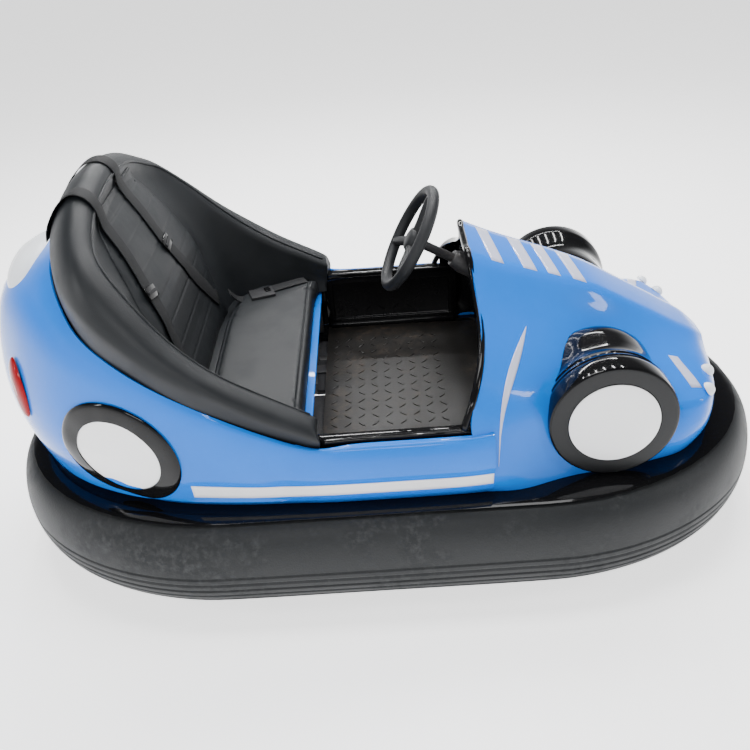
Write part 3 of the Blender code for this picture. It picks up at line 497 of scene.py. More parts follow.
def tailSection(bottom, belly, shoulder, top):
    (bx, by), low = bottom, bodyShape["bottom"]
    belly, shoulder, top = Vector(belly), Vector(shoulder), Vector(top)
    skirt = [(bx + along * (belly.x - bx), by + out * (belly.y - by), low + rise) for along, out,
        rise in bodyShape["skirt"]]
    haunch = (shoulder + top) / 2 + (shoulder - belly).normalized() * bodyShape["haunch"]
    return [Vector((bx, by, low)), *map(Vector, skirt), belly, shoulder, haunch, top]


def thicken(bm):
    # give the skin its wall; the side facing inwards takes the second material
    outer = BVHTree.FromBMesh(bm)
    bmesh.ops.solidify(bm, geom=bm.faces[:], thickness=bodyShape["wall"])
    bm.normal_update()
    for face in bm.faces:
        facing = outer.find_nearest(face.calc_center_median())[1]
        face.material_index = 1 if facing.dot(face.normal) < -0.5 else 0


def markCrease(bm, layer, a, b, amount):
    edge = bm.edges.get((a, b))
    if edge:
        edge[layer] = amount


def makeTail():
    bm = bmesh.new()
    columns = [curvePath(tailSection(*station), 2) for station in tailStations]
    lines = [curvePath([column[j] for column in columns], 2) for j in range(len(columns[0]))]
    sections = [[line[i] for line in lines] for i in range(len(lines[0]))]
    rows = bridgeSections(bm, [mirrored(section) for section in sections[:0:-1]] + sections)
    inside = Vector((-0.3, 0.0, 0.45))
    turnOutward(bm, lambda face: face.normal.dot(face.calc_center_median() - inside))
    crease = bm.edges.layers.float.new("crease_edge")
    for one, two in zip(rows, rows[1:]):
        markCrease(bm, crease, one[bodyShape["tailCrease"]], two[bodyShape["tailCrease"]], 0.9)
    # the pressed recess that carries the side stripe fades out at both ends
    for vert in bm.verts:
        point = vert.co
        along = min(1.0, max(0.0, (point.x + 0.47) / 0.03)) * min(1.0, max(0.0, (0.275 - point.x) / 0.02))
        if bodyShape["recessLow"] < point.z < bodyShape["recessTop"] and along > 0:
            vert.co.y -= math.copysign(bodyShape["recessDepth"] * along, point.y)
    thicken(bm)
    return settle("body_moulding_rear", bm, [bodyBlue, glossBlack], "chassis",
        ["rear_shell", "sill_R", "sill_L"], sharp=60, levels=1)


bonnetShape = {
    "rimShift": (0.0, 0.0, 0.0, -0.03, -0.012, 0.01, 0.022, 0.02, 0.01, 0.008),
    "topRidges": {8: 0.95, 10: 0.95},
    "fenderRidges": {3: 0.75, 15: 0.75},
    "fenderFrom": 0.6,
    "noseCrease": 0.6,
    "wheelAt": (0.522, 0.45),
    "wheelReach": 0.15,
    "wheelSide": 0.37,
    "flare": 0.5,
}


def makeBonnet():
    bm = bmesh.new()
    sections = []
    for row, (x, half) in enumerate(bonnetSections):
        shifts = bonnetShape["rimShift"] if row == 0 else [0.0] * len(half)
        line = [Vector((x + shift, y, z)) for shift, (y, z) in zip(shifts, half)]
        sections.append(line + mirrored(line[-2::-1]))
    crossed = [curvePath([section[j] for section in sections], 1) for j in range(len(sections[0]))]
    rows = bridgeSections(bm, [[line[i] for line in crossed] for i in range(len(crossed[0]))])
    # close the nose with a face across each pair of steps
    last = rows[-1]
    for j in range(len(last) // 2):
        corner = list(dict.fromkeys([last[j], last[j + 1], last[-2 - j], last[-1 - j]]))
        if len(corner) >= 3:
            bm.faces.new(corner)
    inside = Vector((0.45, 0.0, 0.3))
    turnOutward(bm, lambda face: face.normal.dot(face.calc_center_median() - inside))
    crease = bm.edges.layers.float.new("crease_edge")
    for one, two in zip(rows, rows[1:]):
        fender = bonnetShape["fenderRidges"] if one[0].co.x > bonnetShape["fenderFrom"] else {}
        for j, amount in {**bonnetShape["topRidges"], **fender}.items():
            markCrease(bm, crease, one[j], two[j], amount)
    for a, b in zip(last, last[1:]):
        markCrease(bm, crease, a, b, bonnetShape["noseCrease"])
    # the sides stay inside the dummy wheels' faces
    wheelX, wheelZ = bonnetShape["wheelAt"]
    for vert in bm.verts:
        past = math.hypot(vert.co.x - wheelX, vert.co.z - wheelZ) - bonnetShape["wheelReach"]
        limit = bonnetShape["wheelSide"] + bonnetShape["flare"] * max(0.0, past)
        if abs(vert.co.y) > limit:
            vert.co.y = math.copysign(limit, vert.co.y)
    thicken(bm)
    return settle("body_moulding_front", bm, [bodyBlue, glossBlack], "chassis", ["front_shell"], sharp=75,
        levels=2)


tailMoulding = makeTail()
bonnetMoulding = makeBonnet()
print("body moulded")


def surfaceOf(*objects):
    bm = bmesh.new()
    for obj in objects:
        fresh = finalMesh(obj)
        bm.from_mesh(fresh)
        bpy.data.meshes.remove(fresh)
    tree = BVHTree.FromBMesh(bm)
    bm.free()
    return tree


bodySurface = surfaceOf(tailMoulding, bonnetMoulding)


def layStrip(name, corners, direction, material, across=6, along=12, lift=0.0007, outline=None):
    # a thin film with four corners, dropped on the body along a direction
    low0, low1, high1, high0 = [Vector(corner) for corner in corners]
    direction = Vector(direction)
    bm = bmesh.new()
    bmesh.ops.create_grid(bm, x_segments=along, y_segments=across, size=0.5)
    for vert in bm.verts:
        u, v = vert.co.x + 0.5, vert.co.y + 0.5
        if outline:
            v = 0.5 + (v - 0.5) * outline(u)
        point = low0.lerp(low1, u).lerp(high0.lerp(high1, u), v)
        hit, normal = bodySurface.ray_cast(point - direction * 0.25, direction)[:2]
        if hit is None:
            hit, normal = bodySurface.find_nearest(point)[:2]
        if normal.dot(direction) > 0:
            normal = -normal
        vert.co = hit + normal * lift
    turnOutward(bm, lambda face: -face.normal.dot(direction))
    bmesh.ops.solidify(bm, geom=bm.faces[:], thickness=0.0006)
    return settle(name, bm, material)


# foot and top of the side stripe at its two ends
sideStripe = {"rear": -0.432, "rearEnds": (0.3395, 0.379), "front": 0.248, "frontEnds": (0.3385, 0.375),
    "out": 0.46}
# start and end of the cross stripes on the bonnet's flat top, each leaning forward to the near side
bonnetStripes = {"runs": [(0.268, 0.298), (0.345, 0.378), (0.405, 0.436), (0.467, 0.5)], "slant": 0.018}
fenderStripe = [(0.697, 0.182), (0.72, 0.182), (0.75, 0.28), (0.724, 0.282)]
# corners of a thin silver crescent on each side of the bonnet: a painted highlight standing in for the light
# caught by a crease edge
paintedCreaseHighlight = [(0.345, 0.203), (0.252, 0.43), (0.266, 0.43), (0.359, 0.203)]
down = (0.0, 0.0, -1.0)


def highlightOutline(u):
    return max(0.05, math.sin(math.pi * min(1.0, max(0.0, u))) ** 0.8) * 1.25


for tag, side in (("R", -1.0), ("L", 1.0)):
    rear, front, out = sideStripe["rear"], sideStripe["front"], side * sideStripe["out"]
    (rearLow, rearHigh), (frontLow, frontHigh) = sideStripe["rearEnds"], sideStripe["frontEnds"]
    corners = [(rear, out, rearLow), (front, out, frontLow), (front, out, frontHigh), (rear, out, rearHigh)]
    layStrip("side_stripe_" + tag, corners, (0.0, -side, 0.0), stripeWhite, across=4, along=60)
for index, (start, end) in enumerate(bonnetStripes["runs"]):
    reach = 0.093 - 0.09 * (start - 0.27)  # the flat top narrows towards the nose
    slant = bonnetStripes["slant"]
    corners = [(start + slant, -reach, 0.8), (end + slant, -reach, 0.8), (end, reach, 0.8),
        (start, reach, 0.8)]
    layStrip("bonnet_stripe_%d" % (index + 1), corners, down, silverStripeAndHighlight, across=8, along=4)
for tag, side in (("R", -1.0), ("L", 1.0)):
    corners = [(x, side * y, 0.6) for x, y in fenderStripe]
    layStrip("fender_stripe_" + tag, corners, down, silverStripeAndHighlight, across=8, along=4)
    # the silver crescent on each side is a painted highlight of a crease edge, laid as a film
    corners = [(x, side * y, 0.8) for x, y in paintedCreaseHighlight]
    layStrip("painted_crease_highlight_" + tag, corners, down, silverStripeAndHighlight, across=4, along=24, lift=0.0012,
        outline=highlightOutline)
print("stripes laid")

drumShape = {"centre": (0.522, 0.45), "inner": 0.165, "face": 0.3865, "dished": 0.2205}
drumProfile = [(0.0, 0.0), (0.108, 0.0), (0.122, 0.004), (0.13, 0.014), (0.134, 0.028), (0.1345, 0.052),
    (0.1325, 0.082), (0.131, 0.104),
               (0.1325, 0.12), (0.1365, 0.134), (0.139, 0.14), (0.1372, 0.144), (0.1395, 0.149),
                (0.1425, 0.157), (0.1445, 0.163), (0.143, 0.1675),
               (0.145, 0.172), (0.1455, 0.181), (0.1455, 0.212), (0.144, 0.2185), (0.14, 0.2215),
                (0.136, 0.222), (0.1045, 0.222),
               (0.103, 0.2205), (0.0, 0.2205)]
discProfile = [(0.0, 0.0), (0.1012, 0.0), (0.1018, 0.001), (0.1014, 0.0028), (0.0998, 0.0038), (0.06, 0.0046),
    (0.0, 0.005)]
for tag, side in (("R", -1.0), ("L", 1.0)):
    x, z = drumShape["centre"]
    axis = (0.0, side, 0.0)
    spunPiece("dummy_wheel_" + tag, drumProfile, (x, side * drumShape["inner"], z), axis,
        [glossBlack, mattBlack], stands=["front_drum_" + tag], sharp=35,
              split=lambda radius, height: 1 if height > drumShape["dished"] else 0)
    spunPiece("wheel_disc_" + tag, discProfile, (x, side * drumShape["face"], z), axis, discWhite,
        stands=["front_disc_" + tag], sharp=35)
for tag in ("R", "L"):
    for start in ("rear_ring_", "rear_disc_", "tail_lamp_"):
        roundedNode(start + tag)
humpShape = {"from": -0.822, "longer": 1.3, "wider": 1.15, "forward": 0.02}
humpLamp = roundedNode("hump_lamp")
for vert in humpLamp.data.vertices:
    past = (vert.co.x - humpShape["from"]) * humpShape["longer"]
    vert.co.x = humpShape["from"] + past + humpShape["forward"]
    vert.co.y *= humpShape["wider"]
print("dummy wheels made")


bumperShape = {"grooves": (0.086, 0.107, 0.128, 0.149, 0.17), "grooveHalf": 0.0046, "grooveDeep": 0.0044,
    "straight": 0.365}


def makeBumper():
    obj = settle("bumper_ring", weldedCopy("bumper_tube"), bumperRubber, stands=["bumper_tube"], sharp=70,
        levels=2)
    applyModifiers(obj)
    bm = bmesh.new()
    bm.from_mesh(obj.data)
    half = bumperShape["grooveHalf"]
    for level in bumperShape["grooves"]:
        for step in (-1.6, -1.0, 0.0, 1.0, 1.6):
            everything = bm.verts[:] + bm.edges[:] + bm.faces[:]
            bmesh.ops.bisect_plane(bm, geom=everything, dist=0.00001,
                plane_co=(0.0, 0.0, level + step * half), plane_no=(0.0, 0.0, 1.0))
    for vert in bm.verts:
        point = vert.co
        run = min(abs(point.x), bumperShape["straight"])
        outward = Vector((point.x - math.copysign(run, point.x), point.y, 0.0)).normalized()
        groove = max(math.exp(-((point.z - level) / (0.62 * half)) ** 4) for level in bumperShape["grooves"])
        sag = 0.0006 * math.sin(point.x * 11.0 + point.y * 9.0) * math.sin(point.z * 34.0)
        if vert.normal.dot(outward) > 0.1:
            point -= outward * (bumperShape["grooveDeep"] * groove + sag)
    bm.to_mesh(obj.data)
    bm.free()
    smoothFaces(obj)


makeBumper()
bevelledNode("bumper_rim", edge=0.0012, segments=2)
print("bumper made")

liningShape = {"rear": -0.15, "front": 0.246, "inner": 0.398, "outer": 0.4055, "low": 0.3073, "high": 0.47,
    "border": 0.03, "recess": 0.006}


def makeLining(tag, side):
    bm = cubeBetween((liningShape["rear"], side * liningShape["inner"], liningShape["low"]),
        (liningShape["front"], side * liningShape["outer"], liningShape["high"]))
    inward = [face for face in bm.faces if face.normal.y * side < -0.9]
    bmesh.ops.inset_region(bm, faces=inward, thickness=liningShape["border"], depth=0.0)
    bmesh.ops.inset_region(bm, faces=inward, thickness=0.005, depth=-liningShape["recess"])
    hard = [edge for edge in bm.edges if edge.is_manifold and edge.calc_face_angle(0.0) > 0.3]
    roundEdges(bm, hard, 0.0018, 2)
    settle("cockpit_lining_" + tag, bm, glossBlack, stands=["cockpit_wall_" + tag], sharp=50)


for tag, side in (("R", -1.0), ("L", 1.0)):
    makeLining(tag, side)
    boxPiece("cockpit_top_rail_" + tag, (-0.14, side * 0.397, 0.468), (0.236, side * 0.426, 0.4828),
        glossBlack, edge=0.004, segments=3)
    boxPiece("cockpit_foot_band_" + tag, (-0.14, side * 0.384, 0.3073), (0.236, side * 0.4, 0.32), glossBlack,
        edge=0.003, segments=3)
    bevelledNode("seat_riser_" + tag)
bevelledNode("dash_panel")
bevelledNode("seat_pan", edge=0.0025, segments=3)
for node in ("chassis_frame", "steering_post", "drive_fork", "trail_fork_R", "trail_fork_L", "foot_pedal",
        "battery_block", "lap_buckle"):
    bevelledNode(node)
bevelledNode("floor_plate", edge=0.001)
# flat members seen in the slot between the seat and the floor plate
slotPieces = {
    "slot_cover": ((-0.215, -0.398, 0.26), (-0.124, 0.06, 0.28), framePaint),
    "slot_bar": ((-0.176, 0.075, 0.27), (-0.124, 0.235, 0.286), darkCase),
    "slot_flange": ((-0.176, 0.26, 0.27), (-0.124, 0.345, 0.286), framePaint),
}
for slotName, slotBox in slotPieces.items():
    boxPiece(slotName, *slotBox)

treadShape = {"pitch": 0.036, "length": 0.026, "width": 0.007, "height": 0.0013, "top": 0.307,
    "corner": (-0.122, -0.345), "columns": 9, "rows": 19}
# corners of one raised bar in half lengths and half widths, and its faces; 6 and 7 are the ridge
treadFoot = ((1, 0), (0.5, 0.8), (-0.5, 0.8), (-1, 0), (-0.5, -0.8), (0.5, -0.8))
treadFaces = ((0, 1, 6), (1, 2, 7, 6), (2, 3, 7), (3, 4, 7), (4, 5, 6, 7), (5, 0, 6), (5, 4, 3, 2, 1, 0))


def makeTread():
    bm = bmesh.new()
    length, width = treadShape["length"] / 2, treadShape["width"] / 2
    height = Vector((0, 0, treadShape["height"]))
    for i in range(treadShape["columns"]):
        for j in range(treadShape["rows"]):
            turn = math.radians(45 if (i + j) % 2 else -45)
            along = Vector((math.cos(turn), math.sin(turn), 0.0))
            side = Vector((-along.y, along.x, 0.0))
            left, near = treadShape["corner"]
            middle = Vector((left + treadShape["pitch"] * i, near + treadShape["pitch"] * j,
                treadShape["top"]))
            spots = [bm.verts.new(middle + along * (length * a) + side * (width * b)) for a, b in treadFoot]
            spots += [bm.verts.new(middle + along * (length * a) + height) for a in (0.55, -0.55)]
            for loop in treadFaces:
                bm.faces.new([spots[k] for k in loop])
    return settle("floor_tread", bm, chequerSteel, outward=True)


makeTread()

# gloss black lining that rounds the bonnet's rear edge
rimLine = [(0.184, 0.424, 0.486), (0.208, 0.398, 0.545), (0.23, 0.338, 0.591), (0.243, 0.25, 0.631),
    (0.241, 0.16, 0.683), (0.232, 0.1, 0.746), (0.23, 0.05, 0.748), (0.23, 0.0, 0.748)]
rimLine = rimLine + [(x, -y, z) for x, y, z in reversed(rimLine[:-1])]
tubePiece("bonnet_lining_bead", rimLine, 0.0085, glossBlack, extra=5)
for tag, side in (("R", -1.0), ("L", 1.0)):
    edgeLine = [(-0.13, side * 0.424, 0.4765), (-0.04, side * 0.42, 0.4765), (0.08, side * 0.418, 0.4765),
        (0.17, side * 0.42, 0.4785), (0.19, side * 0.424, 0.484)]
    tubePiece("cockpit_edge_bead_" + tag, edgeLine, 0.0075, glossBlack, extra=5)
print("cockpit made")


steeringShape = {"lean": 30.0, "centre": (0.1, 0.0, 0.756), "spokes": (90, 210, 330), "spokeRadius": 0.0125}
spokeLine = [(0.014, 0.01), (0.045, 0.008), (0.08, 0.003), (0.113, 0.0)]  # outward, along the column
hubProfile = [(0.0, -0.006), (0.018, -0.006), (0.026, -0.003), (0.03, 0.002), (0.031, 0.01), (0.028, 0.017),
    (0.02, 0.021), (0.0, 0.021)]


def makeSteering():
    settle("steering_grip", weldedCopy("steering_rim"), wheelGrip, "steering", ["steering_rim"], levels=2)
    lean = math.radians(steeringShape["lean"])
    axis = Vector((math.cos(lean), 0.0, -math.sin(lean)))
    upward = Vector((math.sin(lean), 0.0, math.cos(lean)))
    centre = Vector(steeringShape["centre"])
    for index, turn in enumerate(steeringShape["spokes"]):
        angle = math.radians(turn)
        out = Vector((0.0, 1.0, 0.0)) * math.cos(angle) + upward * math.sin(angle)
        line = [centre + out * away + axis * ahead for away, ahead in spokeLine]
        tubePiece("steering_spoke_%d" % (index + 1), line, steeringShape["spokeRadius"], wheelGrip,
            "steering", roundness=3, extra=3)
    spunPiece("steering_hub", hubProfile, centre, axis, wheelGrip, "steering", ["steering_spokes"], steps=48)


makeSteering()
bevelledNode("steering_shaft", edge=0.001)
bevelledNode("column_collar", edge=0.001)
print("steering made")

# stations of the bucket, left half from the wing's tip to the middle of the back:
# roll centre, its tall and deep half axes, where its skin meets the body,
# and where its inside meets the cushion
bucketStations = [
    ((-0.131, 0.417, 0.504), (-0.004, 0.0, 0.018), (0.0, -0.022, 0.0), (-0.132, 0.434, 0.477),
     (-0.14, 0.385, 0.47), (-0.142, 0.378, 0.44)),
    ((-0.14, 0.419, 0.51), (-0.008, 0.0, 0.029), (0.0, -0.034, 0.0), (-0.14, 0.441, 0.474),
     (-0.15, 0.384, 0.476), (-0.15, 0.374, 0.44)),
    ((-0.25, 0.415, 0.567), (-0.01, 0.0, 0.036), (0.0, -0.037, 0.0), (-0.25, 0.443, 0.52),
     (-0.25, 0.375, 0.51), (-0.25, 0.366, 0.44)),
    ((-0.33, 0.412, 0.617), (-0.012, 0.002, 0.041), (0.0, -0.038, 0.0), (-0.33, 0.44, 0.56),
     (-0.33, 0.368, 0.545), (-0.326, 0.356, 0.44)),
    ((-0.41, 0.406, 0.676), (-0.01, -0.004, 0.049), (0.005, -0.038, 0.004), (-0.412, 0.431, 0.602),
     (-0.4, 0.352, 0.585), (-0.382, 0.338, 0.44)),
    ((-0.487, 0.386, 0.745), (-0.004, -0.01, 0.058), (0.015, -0.036, 0.004), (-0.5, 0.407, 0.652),
     (-0.446, 0.326, 0.62), (-0.4, 0.296, 0.434)),
    ((-0.56, 0.346, 0.812), (0.004, -0.014, 0.066), (0.026, -0.032, 0.0), (-0.59, 0.367, 0.708),
     (-0.474, 0.288, 0.655), (-0.41, 0.25, 0.434)),
    ((-0.606, 0.283, 0.846), (0.02, -0.01, 0.072), (0.035, -0.022, -0.008), (-0.652, 0.29, 0.76),
     (-0.48, 0.226, 0.68), (-0.418, 0.196, 0.434)),
    ((-0.634, 0.19, 0.882), (0.036, -0.005, 0.075), (0.04, -0.01, -0.016), (-0.697, 0.194, 0.8),
     (-0.482, 0.148, 0.695), (-0.424, 0.13, 0.434)),
    ((-0.646, 0.092, 0.903), (0.048, 0.0, 0.077), (0.042, -0.003, -0.022), (-0.714, 0.1, 0.826),
     (-0.482, 0.074, 0.7), (-0.425, 0.064, 0.434)),
    ((-0.65, 0.0, 0.91), (0.052, 0.0, 0.077), (0.042, 0.0, -0.024), (-0.72, 0.0, 0.832), (-0.482, 0.0, 0.702),
     (-0.425, 0.0, 0.434)),
]
rollArc = [(-0.45, -0.95), (0.0, -1.02), (0.42, -0.93), (0.76, -0.7), (0.95, -0.36), (1.0, 0.0), (0.95, 0.36),
    (0.78, 0.72), (0.42, 1.0)]


def rollPoint(station, rise, reach):
    centre, tall, deep = (Vector(part) for part in station[:3])
    return centre + tall * rise + deep * reach


def bucketSection(station):
    line = [Vector(station[3])] + [rollPoint(station, *arc) for arc in rollArc]
    waist, foot = Vector(station[4]), Vector(station[5])
    line.append(line[-1].lerp(waist, 0.34) + Vector((0.0, 0.0, 0.004)))
    line.append(line[-2].lerp(waist, 0.68))
    return line + [waist, waist.lerp(foot, 0.5) + Vector((-0.006, 0.0, 0.0)), foot]


def alongBucket(rise, reach, lift):
    # a line along the roll from the right tip round to the left one
    half = []
    for station in bucketStations[1:]:
        point = rollPoint(station, rise, reach)
        half.append(point + (point - Vector(station[0])).normalized() * lift)
    return mirrored(half) + half[-2::-1]


def makeBucket():
    bm = bmesh.new()
    half = [curvePath(bucketSection(station), 1) for station in bucketStations]
    whole = [mirrored(section) for section in half] + half[-2::-1]
    columns = [curvePath([section[j] for section in whole], 3) for j in range(len(whole[0]))]
    rows = bridgeSections(bm, [[column[i] for column in columns] for i in range(len(columns[0]))])
    bm.faces.new(rows[0])
    bm.faces.new(list(reversed(rows[-1])))
    bmesh.ops.recalc_face_normals(bm, faces=bm.faces)
    if max(bm.faces, key=lambda face: face.calc_center_median().z).normal.z < 0:
        bmesh.ops.reverse_faces(bm, faces=bm.faces)
    skin = BVHTree.FromBMesh(bm)
    bmesh.ops.solidify(bm, geom=bm.faces[:], thickness=0.004)
    obj = settle("surround_roll_padded", bm, seatVinyl, "chassis", ["surround_roll", "seat_tub"], sharp=88,
        levels=1)
    applyModifiers(obj)
    smoothFaces(obj)
    return skin


bucketSurface = makeBucket()
tubePiece("roll_piping", alongBucket(0.84, 0.6, 0.001), 0.0032, seatVinyl, extra=6)


padCloth = {"pressure": 4.0, "frames": 20, "quality": 5, "stretch": 15.0, "bend": 0.5}


def swell(obj, voxel, cap):
    # blow a pad up a little with cloth, each point held within cap of where it began
    if voxel:
        remesh = obj.modifiers.new("even", "REMESH")
        remesh.mode = "VOXEL"
        remesh.voxel_size = voxel
        remesh.use_smooth_shade = True
        applyModifiers(obj)
    start = [v.co.copy() for v in obj.data.vertices]
    cloth = obj.modifiers.new("swelling", "CLOTH")
    settings = cloth.settings
    settings.quality = padCloth["quality"]
    settings.use_pressure = True
    settings.uniform_pressure_force = padCloth["pressure"]
    settings.effector_weights.gravity = 0.0
    settings.tension_stiffness = padCloth["stretch"]
    settings.compression_stiffness = padCloth["stretch"]
    settings.bending_stiffness = padCloth["bend"]
    scene, frames = bpy.context.scene, padCloth["frames"]
    cloth.point_cache.frame_start, cloth.point_cache.frame_end = 1, frames
    scene.frame_start, scene.frame_end = 1, frames
    for number in range(1, frames + 1):
        scene.frame_set(number)
    applyModifiers(obj)
    scene.frame_set(1)
    for vert, was in zip(obj.data.vertices, start):
        shift = vert.co - was
        if shift.length > cap:
            vert.co = was + shift * (cap / shift.length)


def denser(obj):
    addSubdivision(obj, 1)
    applyModifiers(obj)
    smoothFaces(obj)


def sew(obj, seams, depth, width, facing):
    # press sewn channels into the side of a pad that faces a direction
    tree = KDTree(sum(len(line) for line in seams))
    count = 0
    for line in seams:
        for point in line:
            tree.insert(point, count)
            count += 1
    tree.balance()
    normals = [v.normal.copy() for v in obj.data.vertices]
    for vert, normal in zip(obj.data.vertices, normals):
        if normal.dot(facing) < 0.2:
            continue
        _, _, gap = tree.find(vert.co)
        if gap < width * 3:
            vert.co -= normal * (depth * math.exp(-(gap / width) ** 2))


backShape = {
    "low": 0.452, "high": 0.936, "thick": 0.012, "proud": 0.0065,
    "seams": (0.54, 0.601, 0.662, 0.718, 0.778, 0.838, 0.893),
    "widths": [(0.462, 0.25), (0.55, 0.272), (0.65, 0.274), (0.75, 0.256), (0.85, 0.212), (0.936, 0.15)],
}


def backWidth(z):
    table = backShape["widths"]
    for (z0, w0), (z1, w1) in zip(table, table[1:]):
        if z <= z1:
            return w0 + (w1 - w0) * (z - z0) / (z1 - z0)
    return table[-1][1]


def backFace(across, z):
    # the point on the panel's front, across in -1..1
    y = across * backWidth(z)
    hit, normal = bucketSurface.ray_cast(Vector((0.1, y, z)), Vector((-1.0, 0.0, 0.0)))[:2]
    share = (z - backShape["low"]) / (backShape["high"] - backShape["low"])
    swellHere = (1.0 - abs(across) ** 6) * (1.0 - abs(2.0 * share - 1.0) ** 10)
    return hit + normal * (0.0015 + backShape["proud"] * swellHere)


def makeBackrest():
    bm = bmesh.new()
    bmesh.ops.create_grid(bm, x_segments=92, y_segments=84, size=0.5)
    low, high = backShape["low"], backShape["high"]
    for vert in bm.verts:
        vert.co = backFace(2.0 * vert.co.x, low + (high - low) * (vert.co.y + 0.5))
    turnOutward(bm, lambda face: face.normal.x)
    bmesh.ops.solidify(bm, geom=bm.faces[:], thickness=backShape["thick"])
    obj = settle("backrest_padded", bm, seatVinyl, "chassis", ["backrest"])
    swell(obj, None, 0.004)
    denser(obj)
    seams = [[backFace(i / 60.0 - 1.0, level) for i in range(9, 112)] for level in backShape["seams"]]
    sew(obj, seams, 0.0062, 0.0034, Vector((1.0, 0.0, 0.15)))
    return obj


def makeCushion():
    obj = settle("seat_cushion_padded", weldedCopy("seat_cushion"), seatVinyl, "chassis", ["seat_cushion"])
    swell(obj, 0.0055, 0.009)
    denser(obj)
    inset = [(-0.186, 0.34), (-0.25, 0.336), (-0.32, 0.326), (-0.365, 0.285), (-0.38, 0.24), (-0.392, 0.15),
        (-0.394, 0.0)]
    half = [Vector((x, y, 0.498)) for x, y in inset]
    border = mirrored(half) + half[-2::-1]
    sew(obj, [curvePath(border, 40), curvePath([border[0], border[-1]], 160)], 0.0045, 0.004,
        Vector((0.0, 0.0, 1.0)))
    return obj


boxPiece("seat_well", (-0.5, -0.33, 0.4325), (-0.35, 0.33, 0.464), seatVinyl, edge=0.004)
backrest = makeBackrest()
cushion = makeCushion()
seatSurfaces = [bucketSurface, surfaceOf(backrest), surfaceOf(cushion)]
print("pads made")

beltShape = {"width": 0.044, "lapWidth": 0.036, "thick": 0.0022, "pull": 0.055, "lift": 0.004,
    "buckleAt": 0.665}


def drape(point):
    # pull a strap's centre line down onto the seat
    found = [surface.find_nearest(point) for surface in seatSurfaces]
    hit, normal, _, gap = min(found, key=lambda one: one[3])
    return point if gap > beltShape["pull"] else hit + normal * beltShape["lift"]


strapRing = [(-1.0, -0.6), (-1.0, 0.6), (-0.93, 1.0), (-0.8, 1.0), (-0.76, 0.8), (0.76, 0.8), (0.8, 1.0),
    (0.93, 1.0), (1.0, 0.6), (1.0, -0.6), (0.93, -1.0), (-0.93, -1.0)]


def eased(line):
    return [line[0]] + [(a + b * 2 + c) / 4 for a, b, c in zip(line, line[1:], line[2:])] + [line[-1]]


def webbing(name, points, across, width, stands=()):
    # a flat strap with rounded edges along a path; across is its width direction
    line = [drape(point) for point in curvePath(points, 5)]
    for _ in range(4):
        line = eased(line)
    line = eased([drape(point) for point in line])
    bm = bmesh.new()
    sections = []
    half, thick = width / 2, beltShape["thick"] / 2
    for i, point in enumerate(line):
        before, after = line[max(i - 1, 0)], line[min(i + 1, len(line) - 1)]
        run = (after - before).normalized()
        wide = (Vector(across) - run * Vector(across).dot(run)).normalized()
        out = wide.cross(run).normalized()
        sections.append([point + wide * (half * a) + out * (thick * b) for a, b in strapRing])
    rows = bridgeSections(bm, sections, closedSection=True)
    bm.faces.new(rows[0])
    bm.faces.new(list(reversed(rows[-1])))
    settle(name, bm, beltWebbing, "chassis", stands, outward=True)
    return line


farBelt = [(-0.722, 0.04, 0.872), (-0.708, 0.042, 0.93), (-0.672, 0.042, 0.972), (-0.63, 0.04, 0.99),
    (-0.592, 0.042, 0.982), (-0.562, 0.044, 0.95),
           (-0.532, 0.044, 0.893), (-0.506, 0.044, 0.84), (-0.484, 0.046, 0.778), (-0.462, 0.062, 0.715),
            (-0.442, 0.105, 0.65), (-0.424, 0.16, 0.59), (-0.402, 0.212, 0.532)]
nearBelt = [(-0.716, -0.12, 0.872), (-0.7, -0.122, 0.925), (-0.666, -0.124, 0.962), (-0.626, -0.13, 0.98),
    (-0.588, -0.142, 0.95), (-0.562, -0.15, 0.9),
            (-0.534, -0.16, 0.85), (-0.506, -0.174, 0.8), (-0.488, -0.188, 0.755), (-0.468, -0.2, 0.7),
             (-0.452, -0.206, 0.64), (-0.44, -0.205, 0.58), (-0.428, -0.2, 0.5)]
strapLines = {"L": webbing("shoulder_strap_L", farBelt, (0.0, 1.0, 0.0), beltShape["width"],
    ["shoulder_belt_L"])}
strapLines["R"] = webbing("shoulder_strap_R", nearBelt, (0.0, 1.0, 0.0), beltShape["width"],
    ["shoulder_belt_R"])
roundedNode("lap_belt", sharp=40, levels=1)
lapStrap = [(-0.3, 0.28, 0.5015), (-0.262, 0.3, 0.502), (-0.226, 0.318, 0.503), (-0.196, 0.336, 0.504)]
webbing("lap_strap", lapStrap, (-0.4, 0.9, 0.0), beltShape["lapWidth"])


def plate(name, middle, long, wide, size, material, edge):
    # a small bevelled block lying along given directions
    long = Vector(long).normalized()
    wide = (Vector(wide) - long * Vector(wide).dot(long)).normalized()
    turn = Matrix((long, wide, long.cross(wide))).transposed()
    bm = bmesh.new()
    bmesh.ops.create_cube(bm, size=1.0)
    bmesh.ops.scale(bm, verts=bm.verts, vec=size)
    roundEdges(bm, bm.edges, edge, 3)
    bmesh.ops.transform(bm, matrix=Matrix.Translation(middle) @ turn.to_4x4(), verts=bm.verts)
    return settle(name, bm, material, "chassis", sharp=50)


